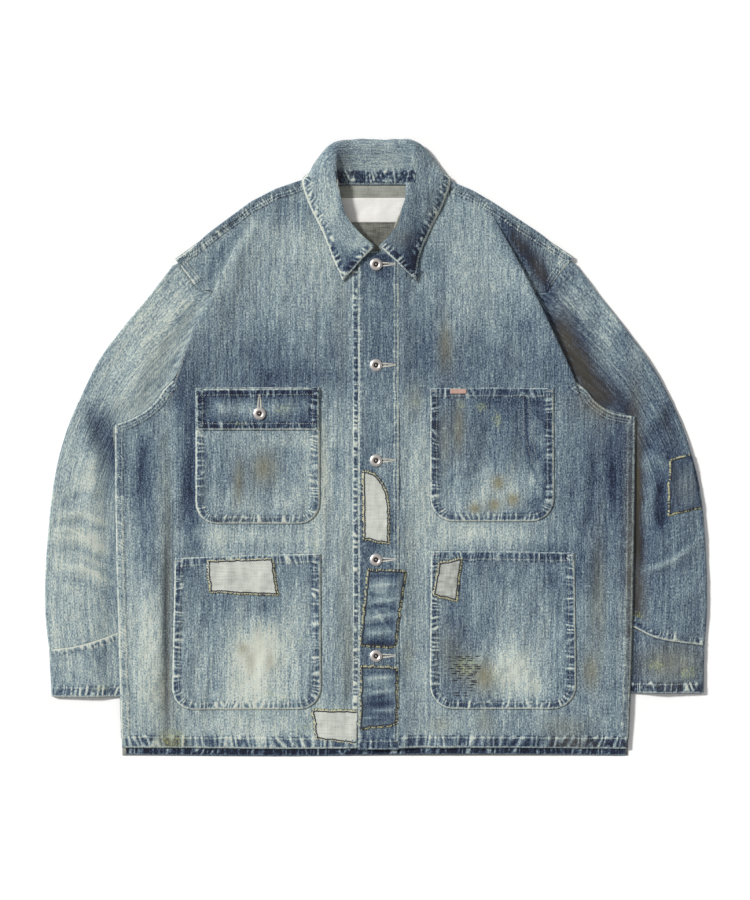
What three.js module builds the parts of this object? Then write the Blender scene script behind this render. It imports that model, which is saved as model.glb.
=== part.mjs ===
import * as THREE from 'three';

// Patched denim chore jacket, buttoned and laid flat on its back with its sleeves down.
// Millimetres. +X is the wearer's left, +Y runs to the collar, +Z is up from the surface below.
// Every cloth piece is a wall of its own, and pieces stand SEAM_GAP apart where they are sewn.

// Cloth
const DENIM = 1.2;
const THIN_CLOTH = 1.0;
const SEAM_GAP = 0.4;
const LAY_GAP = 0.45;

// Heights of the layers above the surface
const SLEEVE_TUCKED_TOP = 4.2;
const SLEEVE_CROWN = 2.1;
const BACK_LIFT = SLEEVE_TUCKED_TOP + SEAM_GAP;
const FRONT_LEVEL = 4.0;
const SIDE_GAP = 0.3;
const LAP_GAP = 0.6;
const BAND_GAP = 0.5;
const FRONT_LIFT = BACK_LIFT + DENIM + SIDE_GAP - FRONT_LEVEL;
const FRONT_LAP = DENIM + LAP_GAP;
const BAND_LIFT = FRONT_LAP + DENIM + BAND_GAP;
const FOLD_HEIGHT = 5.5;
const FOLD_REACH = 75;
const FOLD_FOOT_SHARE = 0.12;

// Body
const HEM_FRONT_Y = -391;
const HEM_BACK_Y = -401;
const SIDE_ROWS = 8;
const ARMHOLE_ROWS = 9;
const LAP_RIGHT_EDGE_X = 15;
const LAP_LEFT_EDGE_X = -16;
const LAP_RAMP_X = [30, 64];
const UNDERARM_DROP = 20;
const SHOULDER_WRAP = 7;
const TIP_WRAP = 3.4;
const TIP_WRAP_SHARE = 0.3;
const TUCK_RAMP = 45;
const BACK_EARLY_LIFT = 18;
const FRONT_EARLY_LIFT = 32;
const LIFT_ENDS_Y = [-394, -341];
const LIFT_STARTS_Y = [108, 64];

// Each half of the body. The armhole and the lip of the fold beside it have matched points, from
// the underarm up to the shoulder, and rise says how high the lip stands at each of them.
const rightHalf = {
  centreX: LAP_RIGHT_EDGE_X,
  side: [[-331, HEM_FRONT_Y], [-335, -250], [-339, -94], [-340, 29]],
  inset: [[-314, HEM_FRONT_Y], [-318, -250], [-321, -94], [-318, -5]],
  armhole: [[-340, 29], [-311, 41], [-287, 60], [-268, 94], [-240, 163], [-227, 193], [-240, 216],
    [-258, 240]],
  lip: [[-318, -5], [-300, 25], [-277, 53], [-261, 92], [-233, 162], [-215, 197], [-193, 243],
    [-159, 313]],
  rise: [0, 0, 0, 0.4, 1, 1, 0.8, 0],
  shoulder: [[-159, 313], [-128, 329], [-96, 340], [-73, 341]],
  neck: [[-73, 341], [-58, 306], [-34, 276], [-4, 255], [LAP_RIGHT_EDGE_X, 254]],
  tuck: [[-289, 62], [-292, 40], [-299, 10], [-310, -30], [-316, -107], [-305, -185], [-297, -226],
    [-291, -324]],
};
const leftHalf = {
  centreX: LAP_LEFT_EDGE_X,
  side: [[327, HEM_FRONT_Y], [332, -250], [335, -94], [336, 40]],
  inset: [[310, HEM_FRONT_Y], [315, -250], [317, -94], [314, 2]],
  armhole: [[336, 40], [306, 46], [282, 62], [264, 94], [236, 153], [220, 190], [232, 216],
    [252, 243]],
  lip: [[314, 2], [294, 30], [272, 56], [257, 92], [229, 152], [208, 196], [184, 243], [146, 313]],
  rise: [0, 0, 0, 0.5, 1, 1, 0.8, 0],
  shoulder: [[146, 313], [122, 327], [94, 339], [72, 341]],
  neck: [[72, 341], [57, 306], [33, 276], [3, 255], [LAP_LEFT_EDGE_X, 254]],
  tuck: [[285, 68], [288, 46], [295, 16], [307, -24], [314, -105], [304, -179], [297, -220],
    [291, -319]],
};
const STRIP_SHARES = [0, 0.34, 0.68];
const FOOT_BEFORE_LIP = 2.4;
const FOOT_LARGEST_SHARE = 0.3;
const SHOULDER_COLUMNS = 4;
const NECK_COLUMNS = 7;
const BACK_NECK = [[-73, 347], [-51, 344], [0, 343.5], [46, 344], [72, 347]];

// Sleeves, from the armhole down to the cuff seam
const SLEEVE_ROWS = 12;
const TIP_SHARE = 0.03;
const TIP_DRAW_IN = 2;
const LARGEST_DRAW_IN = 0.6;
const OUTER_SHARE_RAMP = [1.06, 0.8];
const ARMHOLE_BOW_FADE = 4;
const rightSleeve = {
  outer: [[-266, 236], [-296, 197], [-331, 155], [-361, 114], [-382, 72], [-400, 31], [-413, -11],
    [-421, -53], [-427, -105], [-431, -165], [-431, -219], [-426, -265]],
  inner: [[-341.6, 27], [-341.2, 3], [-332, -36], [-320, -107], [-307, -185], [-300, -226]],
  cuffSeam: [[-300, -226], [-335, -242], [-387, -259], [-426, -265]],
  cuffEnd: [[-294, -324], [-423, -324]],
};
const leftSleeve = {
  outer: [[260, 238], [291, 197], [324, 155], [354, 114], [378, 72], [397, 31], [411, -11],
    [421, -53], [427, -105], [430, -165], [430, -219], [427, -259]],
  inner: [[337.6, 38], [337.4, 13], [330, -29], [318, -105], [306, -179], [300, -220]],
  cuffSeam: [[300, -220], [336, -236], [365, -249], [427, -259]],
  cuffEnd: [[294, -319], [426, -319]],
};
const CUFF_SHARES = [0, 0.5, 1];
const CROWN_RAMP = [2, 40];

// Band and buttons
const BAND_X = [-23.4, 27.5];
const BAND_Y = [252, -392];
const BAND_CELLS = [3, 20];
const BUTTON_X = -0.6;
const BUTTON_YS = [238, 107, -17, -146, -271];
const BUTTON_RADIUS = 8.5;
const BUTTON_HEIGHT = 2.6;
const BUTTON_SIDES = 14;
const BUTTON_GAP = 0.35;
const FLAP_BUTTON = [-152, 44];

// Pockets: top corners, bottom corners and the radius of the round bottom
const rightChestPocket = { top: [[-235, 77], [-74, 78]], bottom: [[-235, -99], [-74, -99]], radius: 27 };
const leftChestPocket = { top: [[70, 77], [230, 77]], bottom: [[70, -96], [231, -96]], radius: 30 };
const rightLowerPocket = { top: [[-262, -144], [-73, -138]], bottom: [[-266, -341], [-72, -340]], radius: 28 };
const leftLowerPocket = { top: [[71, -135], [257, -137]], bottom: [[69, -340], [260, -340]], radius: 32 };
const POCKET_CELLS = [7, 8];
const CORNER_SHARES = [0, 0.12, 0.4, 0.75, 1];
const flap = [[-234, 23], [-75, 23], [-75, 77], [-234, 76]];

// Patches: bottom left, bottom right, top right and top left corners
const bandLightPatch = [[-17, -119], [16, -124], [8, -47], [-17, -31]];
const bandUpperPatch = [[-21, -257], [24, -260], [26.5, -161], [-11, -159]];
const bandLowerPatch = [[-21, -366], [26.5, -360], [26.5, -285], [-20, -285]];
const lowerPocketPatch = [[-217, -188], [-128, -192], [-135, -144], [-220, -147]];
const hemPatch = [[-79, -379], [-25, -385], [-25, -342], [-83, -341]];
const smallPatch = [[74, -192], [104, -200], [111, -144], [81, -150]];
const elbowPatch = [[380, -88], [419, -76], [407, -12], [382, -16]];
const LABEL_GAP = 0.35;
const neckLabel = { centre: [-4, 309], size: [85, 32] };
const pocketTab = [[96, 70], [117, 70], [117, 76], [96, 76]];

// Collar: stations from the centre back to the front point, at the wearer's right. Each names a
// place on five lines: the neck seam, the roll, the belly of the roll, the fall and the outer edge,
// which turns under at the back.
const COLLAR_X = -0.6;
const COLLAR_CELLS_PER_HALF = 11;
const COLLAR_CELLS_ACROSS = 10;
const COLLAR_HALF_WALL = 0.6;
const COLLAR_FLOOR = 0.7;
// At the wearer's left the point spreads wider and lies on the lapped front
const POINT_SPREAD = 9;
const POINT_LIFT = 0.8;
const collarStations = [
  [[0, 340, 2.4], [0, 398, 13], [0, 400.5, 6.5], [0, 384, 0.9], [0, 353, 0.8]],
  [[-22, 340, 2.4], [-26, 398, 13.5], [-27, 400.5, 7], [-29, 385, 1], [-30, 354, 0.8]],
  [[-41, 340, 2.7], [-43, 395, 15], [-54, 398, 8.5], [-62, 384, 1.8], [-55, 356, 0.8]],
  [[-54, 339, 3.6], [-50, 370, 18], [-75, 378, 11], [-86, 365, 4], [-74, 358, 1]],
  [[-66, 334, 6.6], [-49, 345, 19], [-67, 351, 17], [-86, 354, 12], [-95, 350, 7.6]],
  [[-64, 318, 6.8], [-45, 322, 19], [-59, 321, 17], [-76, 319, 12], [-87, 317, 7.2]],
  [[-53, 297, 7], [-38, 300, 17.5], [-50, 294, 16], [-62, 287, 11.5], [-70, 282, 7.2]],
  [[-32, 273, 8.6], [-21, 278, 16], [-34, 268, 15], [-47, 256, 11.5], [-56, 246, 7.4]],
  [[-5, 258, 11.6], [-2, 261, 14.4], [-16, 247, 14], [-31, 230, 11.8], [-43, 217, 8.2]],
];

// Small helpers
const lerp = (a, b, t) => a + (b - a) * t;
const mix = (p, q, t) => p.map((value, axis) => lerp(value, q[axis], t));
const distance = (p, q) => Math.hypot(p[0] - q[0], p[1] - q[1]);

function smoothstep(from, to, value) {
  const t = Math.min(1, Math.max(0, (value - from) / (to - from)));
  return t * t * (3 - 2 * t);
}

// Points at equal steps of a smooth curve through the given ones, by station or by length
function curvePoints(points, cells, byLength = false) {
  const curve = new THREE.CatmullRomCurve3(points.map(([x, y]) => new THREE.Vector3(x, y, 0)));
  const samples = byLength ? curve.getSpacedPoints(cells) : curve.getPoints(cells);
  return samples.map((point) => [point.x, point.y]);
}

// Points at equal steps of a broken line
function broken(points, cells) {
  const spans = points.length - 1;
  return Array.from({ length: cells + 1 }, (_, step) => {
    const place = (step / cells) * spans;
    const index = Math.min(spans - 1, Math.floor(place));
    return mix(points[index], points[index + 1], place - index);
  });
}

function valueAt(values, t) {
  const place = t * (values.length - 1);
  const index = Math.min(values.length - 2, Math.floor(place));
  return lerp(values[index], values[index + 1], place - index);
}

// A net of points stretched between four edges. Columns run from left to right, rows upwards.
function stretchNet(left, right, bottom, top) {
  const columns = bottom.length - 1;
  const rows = left.length - 1;
  const corner = (u, v) => [0, 1].map((axis) => (1 - u) * (1 - v) * bottom[0][axis]
    + u * (1 - v) * bottom[columns][axis] + (1 - u) * v * top[0][axis] + u * v * top[columns][axis]);
  return bottom.map((low, column) => left.map((start, row) => {
    const u = column / columns;
    const v = row / rows;
    const corners = corner(u, v);
    return [0, 1].map((axis) => lerp(start[axis], right[row][axis], u)
      + lerp(low[axis], top[column][axis], v) - corners[axis]);
  }));
}

// A closed wall between two nets of points. Cells can be left out, and the free edges are closed.
function wall(under, over, { closed = false, keep = () => true } = {}) {
  const rows = under[0].length;
  const columns = under.length;
  const index = (column, row) => (column % columns) * rows + row;
  const offset = columns * rows;
  const faces = [];
  const edges = new Map();
  const lastColumn = closed ? columns : columns - 1;
  for (let column = 0; column < lastColumn; column += 1) {
    for (let row = 0; row < rows - 1; row += 1) {
      if (!keep(column, row)) continue;
      const next = column + 1;
      const ring = [index(column, row), index(next, row), index(next, row + 1), index(column, row + 1)];
      const [a, b, c, d] = ring.map((corner) => corner + offset);
      faces.push([a, b, c], [a, c, d]);
      faces.push([ring[2], ring[1], ring[0]], [ring[3], ring[2], ring[0]]);
      ring.forEach((from, step) => {
        const to = ring[(step + 1) % 4];
        const twin = `${to},${from}`;
        if (edges.has(twin)) edges.delete(twin);
        else edges.set(`${from},${to}`, [from, to]);
      });
    }
  }
  for (const [from, to] of edges.values()) {
    faces.push([from, to, to + offset], [from, to + offset, from + offset]);
  }
  return solid([...under.flat(), ...over.flat()], faces);
}

// A closed mesh of the points that its faces use, turned so that they point outwards
function solid(points, faces) {
  const used = new Map();
  const positions = [];
  const place = (corner) => {
    if (!used.has(corner)) {
      used.set(corner, used.size);
      positions.push(...points[corner]);
    }
    return used.get(corner);
  };
  let indices = faces.map((face) => face.map(place));
  if (volume(positions, indices) < 0) indices = indices.map(([a, b, c]) => [a, c, b]);
  const geometry = new THREE.BufferGeometry();
  geometry.setAttribute('position', new THREE.Float32BufferAttribute(positions, 3));
  geometry.setIndex(indices.flat());
  geometry.computeVertexNormals();
  return geometry;
}

function volume(positions, faces) {
  const corner = (index) => new THREE.Vector3().fromArray(positions, index * 3);
  return faces.reduce((sum, [a, b, c]) => sum + corner(a).dot(corner(b).cross(corner(c))) / 6, 0);
}

// The net moved by a distance square to itself
function offsetNet(net, amount) {
  const step = (column, row) => new THREE.Vector3(...net[column][row]);
  return net.map((line, column) => line.map((_, row) => {
    const across = step(Math.min(column + 1, net.length - 1), row).sub(step(Math.max(column - 1, 0), row));
    const along = step(column, Math.min(row + 1, line.length - 1)).sub(step(column, Math.max(row - 1, 0)));
    const normal = across.cross(along).normalize();
    return step(column, row).addScaledVector(normal, amount).toArray();
  }));
}

// The height of a net under or over a place, read from its own flat faces
function heightOver(net, x, y) {
  let nearest = [Infinity, 0];
  for (let column = 0; column < net.length - 1; column += 1) {
    for (let row = 0; row < net[column].length - 1; row += 1) {
      const [a, b] = [net[column][row], net[column + 1][row]];
      const [c, d] = [net[column + 1][row + 1], net[column][row + 1]];
      for (const [p, q, r] of [[a, b, c], [a, c, d]]) {
        const area = (q[0] - p[0]) * (r[1] - p[1]) - (r[0] - p[0]) * (q[1] - p[1]);
        const s = ((x - p[0]) * (r[1] - p[1]) - (r[0] - p[0]) * (y - p[1])) / area;
        const t = ((q[0] - p[0]) * (y - p[1]) - (x - p[0]) * (q[1] - p[1])) / area;
        if (s >= 0 && t >= 0 && s + t <= 1) return p[2] + s * (q[2] - p[2]) + t * (r[2] - p[2]);
      }
      const gap = distance(a, [x, y]);
      if (gap < nearest[0]) nearest = [gap, a[2]];
    }
  }
  return nearest[1];
}

// Materials, in the colours of the washed cloth
const CLOTH_ROUGHNESS = 0.9;
const LABEL_ROUGHNESS = 0.5;
const METAL_ROUGHNESS = 0.35;
const METALNESS = 0.9;

function finish(color, roughness = CLOTH_ROUGHNESS, metalness = 0) {
  return new THREE.MeshStandardMaterial({ color, roughness, metalness });
}

const colours = {
  denim: 0x7d929b,
  darkPatch: 0x55687e,
  lightPatch: 0xc2c8c0,
  label: 0xe8e4dc,
  tab: 0xc9a394,
  metal: 0xb9b1aa,
};

const jacket = new THREE.Group();
jacket.name = 'patched_jacket';

function add(name, geometry, material) {
  const mesh = new THREE.Mesh(geometry, material);
  mesh.name = name;
  jacket.add(mesh);
}

// The innermost place of the tucked sleeve at a height of the body
function tuckX(half, y) {
  const points = half.tuck;
  if (y >= points[0][1]) return points[0][0];
  const found = points.findIndex((point, step) => step > 0 && y >= point[1]);
  if (found < 0) return points[points.length - 1][0];
  const [high, low] = [points[found - 1], points[found]];
  return lerp(high[0], low[0], (y - high[1]) / (low[1] - high[1]));
}

// How far the body is lifted, from 0 to 1, by the sleeve that is tucked under its side
function lift(x, y, early = BACK_EARLY_LIFT) {
  const edge = Math.abs(tuckX(x < 0 ? rightHalf : leftHalf, y)) - early;
  const between = smoothstep(...LIFT_ENDS_Y, y) * smoothstep(...LIFT_STARTS_Y, y);
  return between * smoothstep(edge - TUCK_RAMP, edge, Math.abs(x));
}

// Long soft waves of the fronts
function wave(x, y) {
  return 0.5 + 0.3 * Math.sin(x / 41 + 0.6) * Math.cos(y / 95) + 0.2 * Math.sin(x / 67 - y / 120);
}

function frontUnder(x, y) {
  const lifted = lift(x, y, FRONT_EARLY_LIFT);
  return FRONT_LEVEL + FRONT_LIFT * lifted + wave(x, y) * (1 - lifted);
}

// A front: a narrow strip from its edge to the lip of the fold, then a net to the centre
function frontNet(half) {
  const sideRows = curvePoints(half.side, SIDE_ROWS);
  const insetRows = curvePoints(half.inset, SIDE_ROWS);
  const armholeRows = curvePoints(half.armhole, ARMHOLE_ROWS);
  const lipRows = curvePoints(half.lip, ARMHOLE_ROWS);
  const edge = [...sideRows.slice(0, -1), ...armholeRows];
  const lip = [...insetRows.slice(0, -1), ...lipRows];
  const riseAt = (row) => valueAt(half.rise, (row - SIDE_ROWS) / ARMHOLE_ROWS);
  const rises = edge.map((_, row) => (row < SIDE_ROWS ? 0 : riseAt(row)));
  const strip = STRIP_SHARES.map((share) => edge.map((point, row) => mix(point, lip[row], share)));
  const foot = edge.map((point, row) => {
    const share = FOOT_BEFORE_LIP / distance(point, lip[row]);
    return mix(lip[row], point, Math.min(FOOT_LARGEST_SHARE, share));
  });
  const top = [...broken(half.shoulder, SHOULDER_COLUMNS), ...broken(half.neck, NECK_COLUMNS).slice(1)];
  const bottom = broken([lip[0], [half.centreX, HEM_FRONT_Y]], top.length - 1);
  const topY = half.neck[half.neck.length - 1][1];
  const underarmY = half.side[half.side.length - 1][1] - UNDERARM_DROP;
  const centre = edge.map((point, row) => [half.centreX, row <= SIDE_ROWS
    ? lerp(HEM_FRONT_Y, underarmY, row / SIDE_ROWS)
    : lerp(underarmY, topY, (row - SIDE_ROWS) / ARMHOLE_ROWS)]);
  const main = stretchNet(lip, centre, bottom, top);
  const lap = (x) => (half === leftHalf ? FRONT_LAP * (1 - smoothstep(...LAP_RAMP_X, x)) : 0);
  const raised = (line, foldShare) => line.map(([x, y], row) => {
    const fold = FOLD_HEIGHT * rises[row] * foldShare(row, [x, y]);
    return [x, y, frontUnder(x, y) + fold + lap(x)];
  });
  const fading = (row, point) => 1 - smoothstep(0, FOLD_REACH, distance(point, lip[row]));
  const under = [
    ...strip.map((line) => raised(line, () => 0)),
    raised(foot, () => FOLD_FOOT_SHARE),
    ...main.map((line) => raised(line, fading)),
  ];
  return { under, strip, lip };
}

const fronts = {};
for (const [name, half] of [['right_front', rightHalf], ['left_front', leftHalf]]) {
  const { under, strip, lip } = frontNet(half);
  const over = offsetNet(under, half === rightHalf ? DENIM : -DENIM);
  fronts[name] = { under, over, strip, lip };
  add(name, wall(under, over), finish(colours.denim));
}

// Back panel: flat on the surface, lifted over the tucked sleeves, wrapped over the shoulders
const WRAP_PROFILE = [
  { inside: 14, under: 0, over: DENIM },
  { inside: 3.2, under: 0, over: DENIM },
  { inside: 0.8, under: 0.9, over: 1.6, overInside: 1.3 },
  { inside: 0, under: 2.8, over: 2.8, overInside: 1.3 },
  { inside: 0.8, under: 4.6, over: 4.0, overInside: 1.3 },
  { inside: 3.2, under: FRONT_LEVEL + DENIM + 0.5, over: FRONT_LEVEL + 0.5 },
];
const FOOT_COLUMN = STRIP_SHARES.length;
const BODY_ROWS = SIDE_ROWS + ARMHOLE_ROWS;
const FLAT_INSIDE = WRAP_PROFILE[0].inside;

// A place on the shoulder's fold, measured inwards from its outermost line
function foldSpot({ point, outward, width }, inside) {
  return point.map((value, axis) => value + outward[axis] * (width - inside));
}

// The shoulder seam's points, each with the way out over the fold and the width of the wrap
function shoulderFolds(front) {
  const seam = front.under.slice(0, FOOT_COLUMN + 2 + SHOULDER_COLUMNS)
    .filter((_, column) => column !== FOOT_COLUMN)
    .map((line) => line[BODY_ROWS].slice(0, 2));
  const belowTip = front.under[0][BODY_ROWS - 1];
  return seam.map((point, column) => {
    const [before, after] = [seam[Math.max(0, column - 1)], seam[Math.min(seam.length - 1, column + 1)]];
    const length = distance(before, after) * Math.sign(after[0] - before[0]);
    const outward = column === 0
      ? point.map((value, axis) => (value - belowTip[axis]) / distance(point, belowTip))
      : [-(after[1] - before[1]) / length, (after[0] - before[0]) / length];
    const width = lerp(TIP_WRAP, SHOULDER_WRAP, smoothstep(0, TIP_WRAP_SHARE, column / (seam.length - 1)));
    return { point, outward, width };
  });
}

// A line of the front used again for the back, with the back's own hem and shoulder
function backLine(line, fold) {
  return line.map(([x, y], row) => {
    if (row === 0) return [x, HEM_BACK_Y];
    return row === BODY_ROWS ? foldSpot(fold, FLAT_INSIDE) : [x, y];
  });
}

const folds = { right: shoulderFolds(fronts.right_front), left: shoulderFolds(fronts.left_front).reverse() };
const neckSpots = broken(BACK_NECK, NECK_COLUMNS + 1).slice(1, -1);
const backFolds = [...folds.right, ...neckSpots.map(() => null), ...folds.left];
const backTop = backFolds.map((fold, column) => (
  fold ? foldSpot(fold, FLAT_INSIDE) : neckSpots[column - folds.right.length]));
const foldOnLeft = (column) => folds.left[folds.left.length - 1 - column];
const rightStrip = fronts.right_front.strip.map((line, column) => backLine(line, folds.right[column]));
const leftStrip = fronts.left_front.strip.map((line, column) => backLine(line, foldOnLeft(column)));
const rightLip = backLine(fronts.right_front.lip, folds.right[FOOT_COLUMN]);
const leftLip = backLine(fronts.left_front.lip, foldOnLeft(FOOT_COLUMN));
const mainTop = backTop.slice(FOOT_COLUMN, backTop.length - FOOT_COLUMN);
const mainBottom = broken([rightLip[0], leftLip[0]], mainTop.length - 1);
const backMain = stretchNet(rightLip, leftLip, mainBottom, mainTop);
const backPlan = [...rightStrip, ...backMain, ...leftStrip.reverse()];

// The rows that turn over the shoulder, on the outside or the inside of the cloth
function wrapRows(column, key) {
  const fold = backFolds[column];
  const rows = WRAP_PROFILE.slice(1).map((step) => {
    const inside = key === 'over' && step.overInside ? Math.max(step.inside, step.overInside) : step.inside;
    return [...(fold ? foldSpot(fold, inside) : backTop[column]), step[key]];
  });
  const end = fold ? foldSpot(fold, fold.width - SEAM_GAP) : backTop[column];
  return [...rows, [...end, WRAP_PROFILE[WRAP_PROFILE.length - 1][key]]];
}

const isShoulder = (column) => backFolds[column] !== null && backFolds[column + 1] !== null;
const backHeight = (x, y) => BACK_LIFT * lift(x, y);
const backNet = (key, thickness) => backPlan.map((line, column) => [
  ...line.map(([x, y]) => [x, y, backHeight(x, y) + thickness]),
  ...wrapRows(column, key),
]);
const keepBack = (column, row) => row < BODY_ROWS || isShoulder(column);
add('back', wall(backNet('under', 0), backNet('over', DENIM), { keep: keepBack }), finish(colours.denim));

// Sleeves and cuffs: flattened tubes. A ring runs over the top from the inner fold to the outer
// fold and back underneath, and its inside is drawn in from both folds.
function ringFrom(spots, heights) {
  const last = spots.length - 1;
  const drawn = spots.map((spot, step) => {
    if (step > 1 && step < last - 1) return spot;
    const target = step <= 1 ? spots[2] : spots[last - 2];
    return mix(spot, target, Math.min(LARGEST_DRAW_IN, TIP_DRAW_IN / distance(spot, target)));
  });
  const middle = (tip, [low, high]) => [...tip, (low + high) / 2];
  const ring = (plan, inwards) => {
    const over = plan.slice(1, -1).map((spot, step) => [...spot, heights[step][1] - inwards]);
    const under = plan.slice(1, -1).map((spot, step) => [...spot, heights[step][0] + inwards]);
    return [middle(plan[0], heights[0]), ...over, middle(plan[last], heights[last - 2]), ...under.reverse()];
  };
  return { outer: ring(spots, 0), inner: ring(drawn, DENIM) };
}

// How far a place lies outside the edge of the body, or 0 under it
function clearOf(bodyEdge, [x, y]) {
  const points = [...bodyEdge, [0, bodyEdge[bodyEdge.length - 1][1]], [0, bodyEdge[0][1]]];
  let inside = false;
  points.forEach(([x1, y1], step) => {
    const [x2, y2] = points[(step + 1) % points.length];
    if ((y1 > y) !== (y2 > y) && x < x1 + ((y - y1) / (y2 - y1)) * (x2 - x1)) inside = !inside;
  });
  if (inside) return 0;
  const spans = bodyEdge.slice(1).map((end, step) => {
    const start = bodyEdge[step];
    const run = distance(start, end) ** 2;
    const along = ((x - start[0]) * (end[0] - start[0]) + (y - start[1]) * (end[1] - start[1])) / run;
    return distance(mix(start.slice(0, 2), end, Math.min(1, Math.max(0, along))), [x, y]);
  });
  return Math.min(...spans);
}

function sleeveParts(sleeve, front) {
  const tops = front.over[0].slice(SIDE_ROWS);
  const edge = front.under[0].slice(SIDE_ROWS);
  const inside = front.under[1].slice(SIDE_ROWS);
  const samples = edge.map((point, step) => {
    const away = Math.max(distance(point, inside[step]), 0.01);
    return point.slice(0, 2).map((value, axis) => value + ((value - inside[step][axis]) / away) * SEAM_GAP);
  });
  const innerRows = curvePoints(sleeve.inner, SLEEVE_ROWS, true);
  const outerRows = curvePoints(sleeve.outer, SLEEVE_ROWS, true);
  const armholeLine = [innerRows[0], ...samples, outerRows[0]];
  const shares = armholeLine.map((_, step) => {
    if (step === 0) return 0;
    if (step === armholeLine.length - 1) return 1;
    return TIP_SHARE + (1 - 2 * TIP_SHARE) * ((step - 1) / (samples.length - 1));
  });
  const seam = new THREE.CatmullRomCurve3(sleeve.cuffSeam.map(([x, y]) => new THREE.Vector3(x, y, 0)));
  const cuffLine = shares.map((share) => seam.getPointAt(share).toArray().slice(0, 2));
  const lastSpot = shares.length - 1;
  const bow = (line, column, axis) => (
    line[column][axis] - lerp(line[0][axis], line[lastSpot][axis], shares[column]));
  const net = armholeLine.map((_, column) => innerRows.map((left, row) => {
    const v = row / SLEEVE_ROWS;
    return [0, 1].map((axis) => lerp(left[axis], outerRows[row][axis], shares[column])
      + bow(armholeLine, column, axis) * (1 - v) ** ARMHOLE_BOW_FADE
      + bow(cuffLine, column, axis) * v ** 2);
  }));
  const bodyEdge = front.under[0];
  const heightsAt = (row) => samples.map((sample, step) => {
    if (row === 0) return [0, lerp(tops[step][2], SLEEVE_TUCKED_TOP, lift(...edge[step].slice(0, 2)))];
    const fromBody = smoothstep(...CROWN_RAMP, clearOf(bodyEdge, net[step + 1][row]));
    const fromOuter = smoothstep(...OUTER_SHARE_RAMP, shares[step + 1]);
    return [0, SLEEVE_TUCKED_TOP + SLEEVE_CROWN * fromBody * fromOuter];
  });
  const rings = innerRows.map((_, row) => ringFrom(net.map((column) => column[row]), heightsAt(row)));
  const endLine = shares.map((share) => mix(...sleeve.cuffEnd, share));
  const cuffRings = CUFF_SHARES.map((share) => {
    const spots = cuffLine.map((spot, step) => {
      const run = distance(spot, endLine[step]);
      return mix(spot, endLine[step], Math.max(share, SEAM_GAP / run));
    });
    return ringFrom(spots, heightsAt(SLEEVE_ROWS));
  });
  const topNet = net.slice(1, -1)
    .map((column, step) => column.map((spot, row) => [...spot, heightsAt(row)[step][1]]));
  return { rings, cuffRings, topNet };
}

const byRing = (rings, key) => rings[0][key].map((_, step) => rings.map((ring) => ring[key][step]));
const sleeves = {};
for (const [name, sleeve] of [['right', rightSleeve], ['left', leftSleeve]]) {
  sleeves[name] = sleeveParts(sleeve, fronts[`${name}_front`]);
  const { rings, cuffRings } = sleeves[name];
  const tube = (list) => wall(byRing(list, 'inner'), byRing(list, 'outer'), { closed: true });
  add(`${name}_sleeve`, tube(rings), finish(colours.denim));
  add(`${name}_cuff`, tube(cuffRings), finish(colours.denim));
}

// Pieces that lie on another: their points are its points, moved up
function laid(spots, carrier, gap, thickness) {
  const raised = ([x, y], extra) => [x, y, heightOver(carrier, x, y) + gap + extra];
  const lying = (extra) => spots.map((line) => line.map((spot) => raised(spot, extra)));
  return { under: lying(0), over: lying(thickness) };
}

const steps = (count) => Array.from({ length: count + 1 }, (_, step) => step / count);

function fourCornerNet([lowLeft, lowRight, highRight, highLeft], [columns, rows]) {
  const place = (u, v) => mix(mix(lowLeft, lowRight, u), mix(highLeft, highRight, u), v);
  return steps(columns).map((u) => steps(rows).map((v) => place(u, v)));
}

function pocketNet({ top, bottom, radius }) {
  const [columns, rows] = POCKET_CELLS;
  const height = top[0][1] - bottom[0][1];
  const turns = CORNER_SHARES.map((share) => (share * radius) / height);
  const straight = steps(rows - turns.length + 1).slice(1).map((share) => lerp(radius / height, 1, share));
  const shares = [...turns, ...straight];
  return steps(columns).map((across) => shares.map((share) => {
    const left = mix(bottom[0], top[0], share);
    const right = mix(bottom[1], top[1], share);
    const depth = Math.max(0, radius - share * height);
    const drawn = radius - Math.sqrt(radius * radius - depth * depth);
    const width = right[0] - left[0];
    return mix(left, right, (drawn + across * (width - 2 * drawn)) / width);
  }));
}

const [bandLeft, bandRight] = BAND_X;
const [bandTop, bandFoot] = BAND_Y;
const bandCorners = [[bandLeft, bandFoot], [bandRight, bandFoot], [bandRight, bandTop],
  [bandLeft, bandTop]];
const bandPlan = fourCornerNet(bandCorners, BAND_CELLS);
const bandNet = (lifted) => bandPlan.map((line) => line.map(([x, y]) => [x, y, frontUnder(x, y) + lifted]));
const band = { under: bandNet(BAND_LIFT), over: bandNet(BAND_LIFT + DENIM) };
add('front_band', wall(band.under, band.over), finish(colours.denim));

const pockets = {};
for (const [name, pocket, front] of [
  ['right_chest_pocket', rightChestPocket, 'right_front'],
  ['left_chest_pocket', leftChestPocket, 'left_front'],
  ['right_lower_pocket', rightLowerPocket, 'right_front'],
  ['left_lower_pocket', leftLowerPocket, 'left_front'],
]) {
  pockets[name] = laid(pocketNet(pocket), fronts[front].over, LAY_GAP, DENIM);
  add(name, wall(pockets[name].under, pockets[name].over), finish(colours.denim));
}

const chestFlap = laid(fourCornerNet(flap, [7, 3]), pockets.right_chest_pocket.over, LAY_GAP, DENIM);
add('right_chest_flap', wall(chestFlap.under, chestFlap.over), finish(colours.denim));

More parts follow.
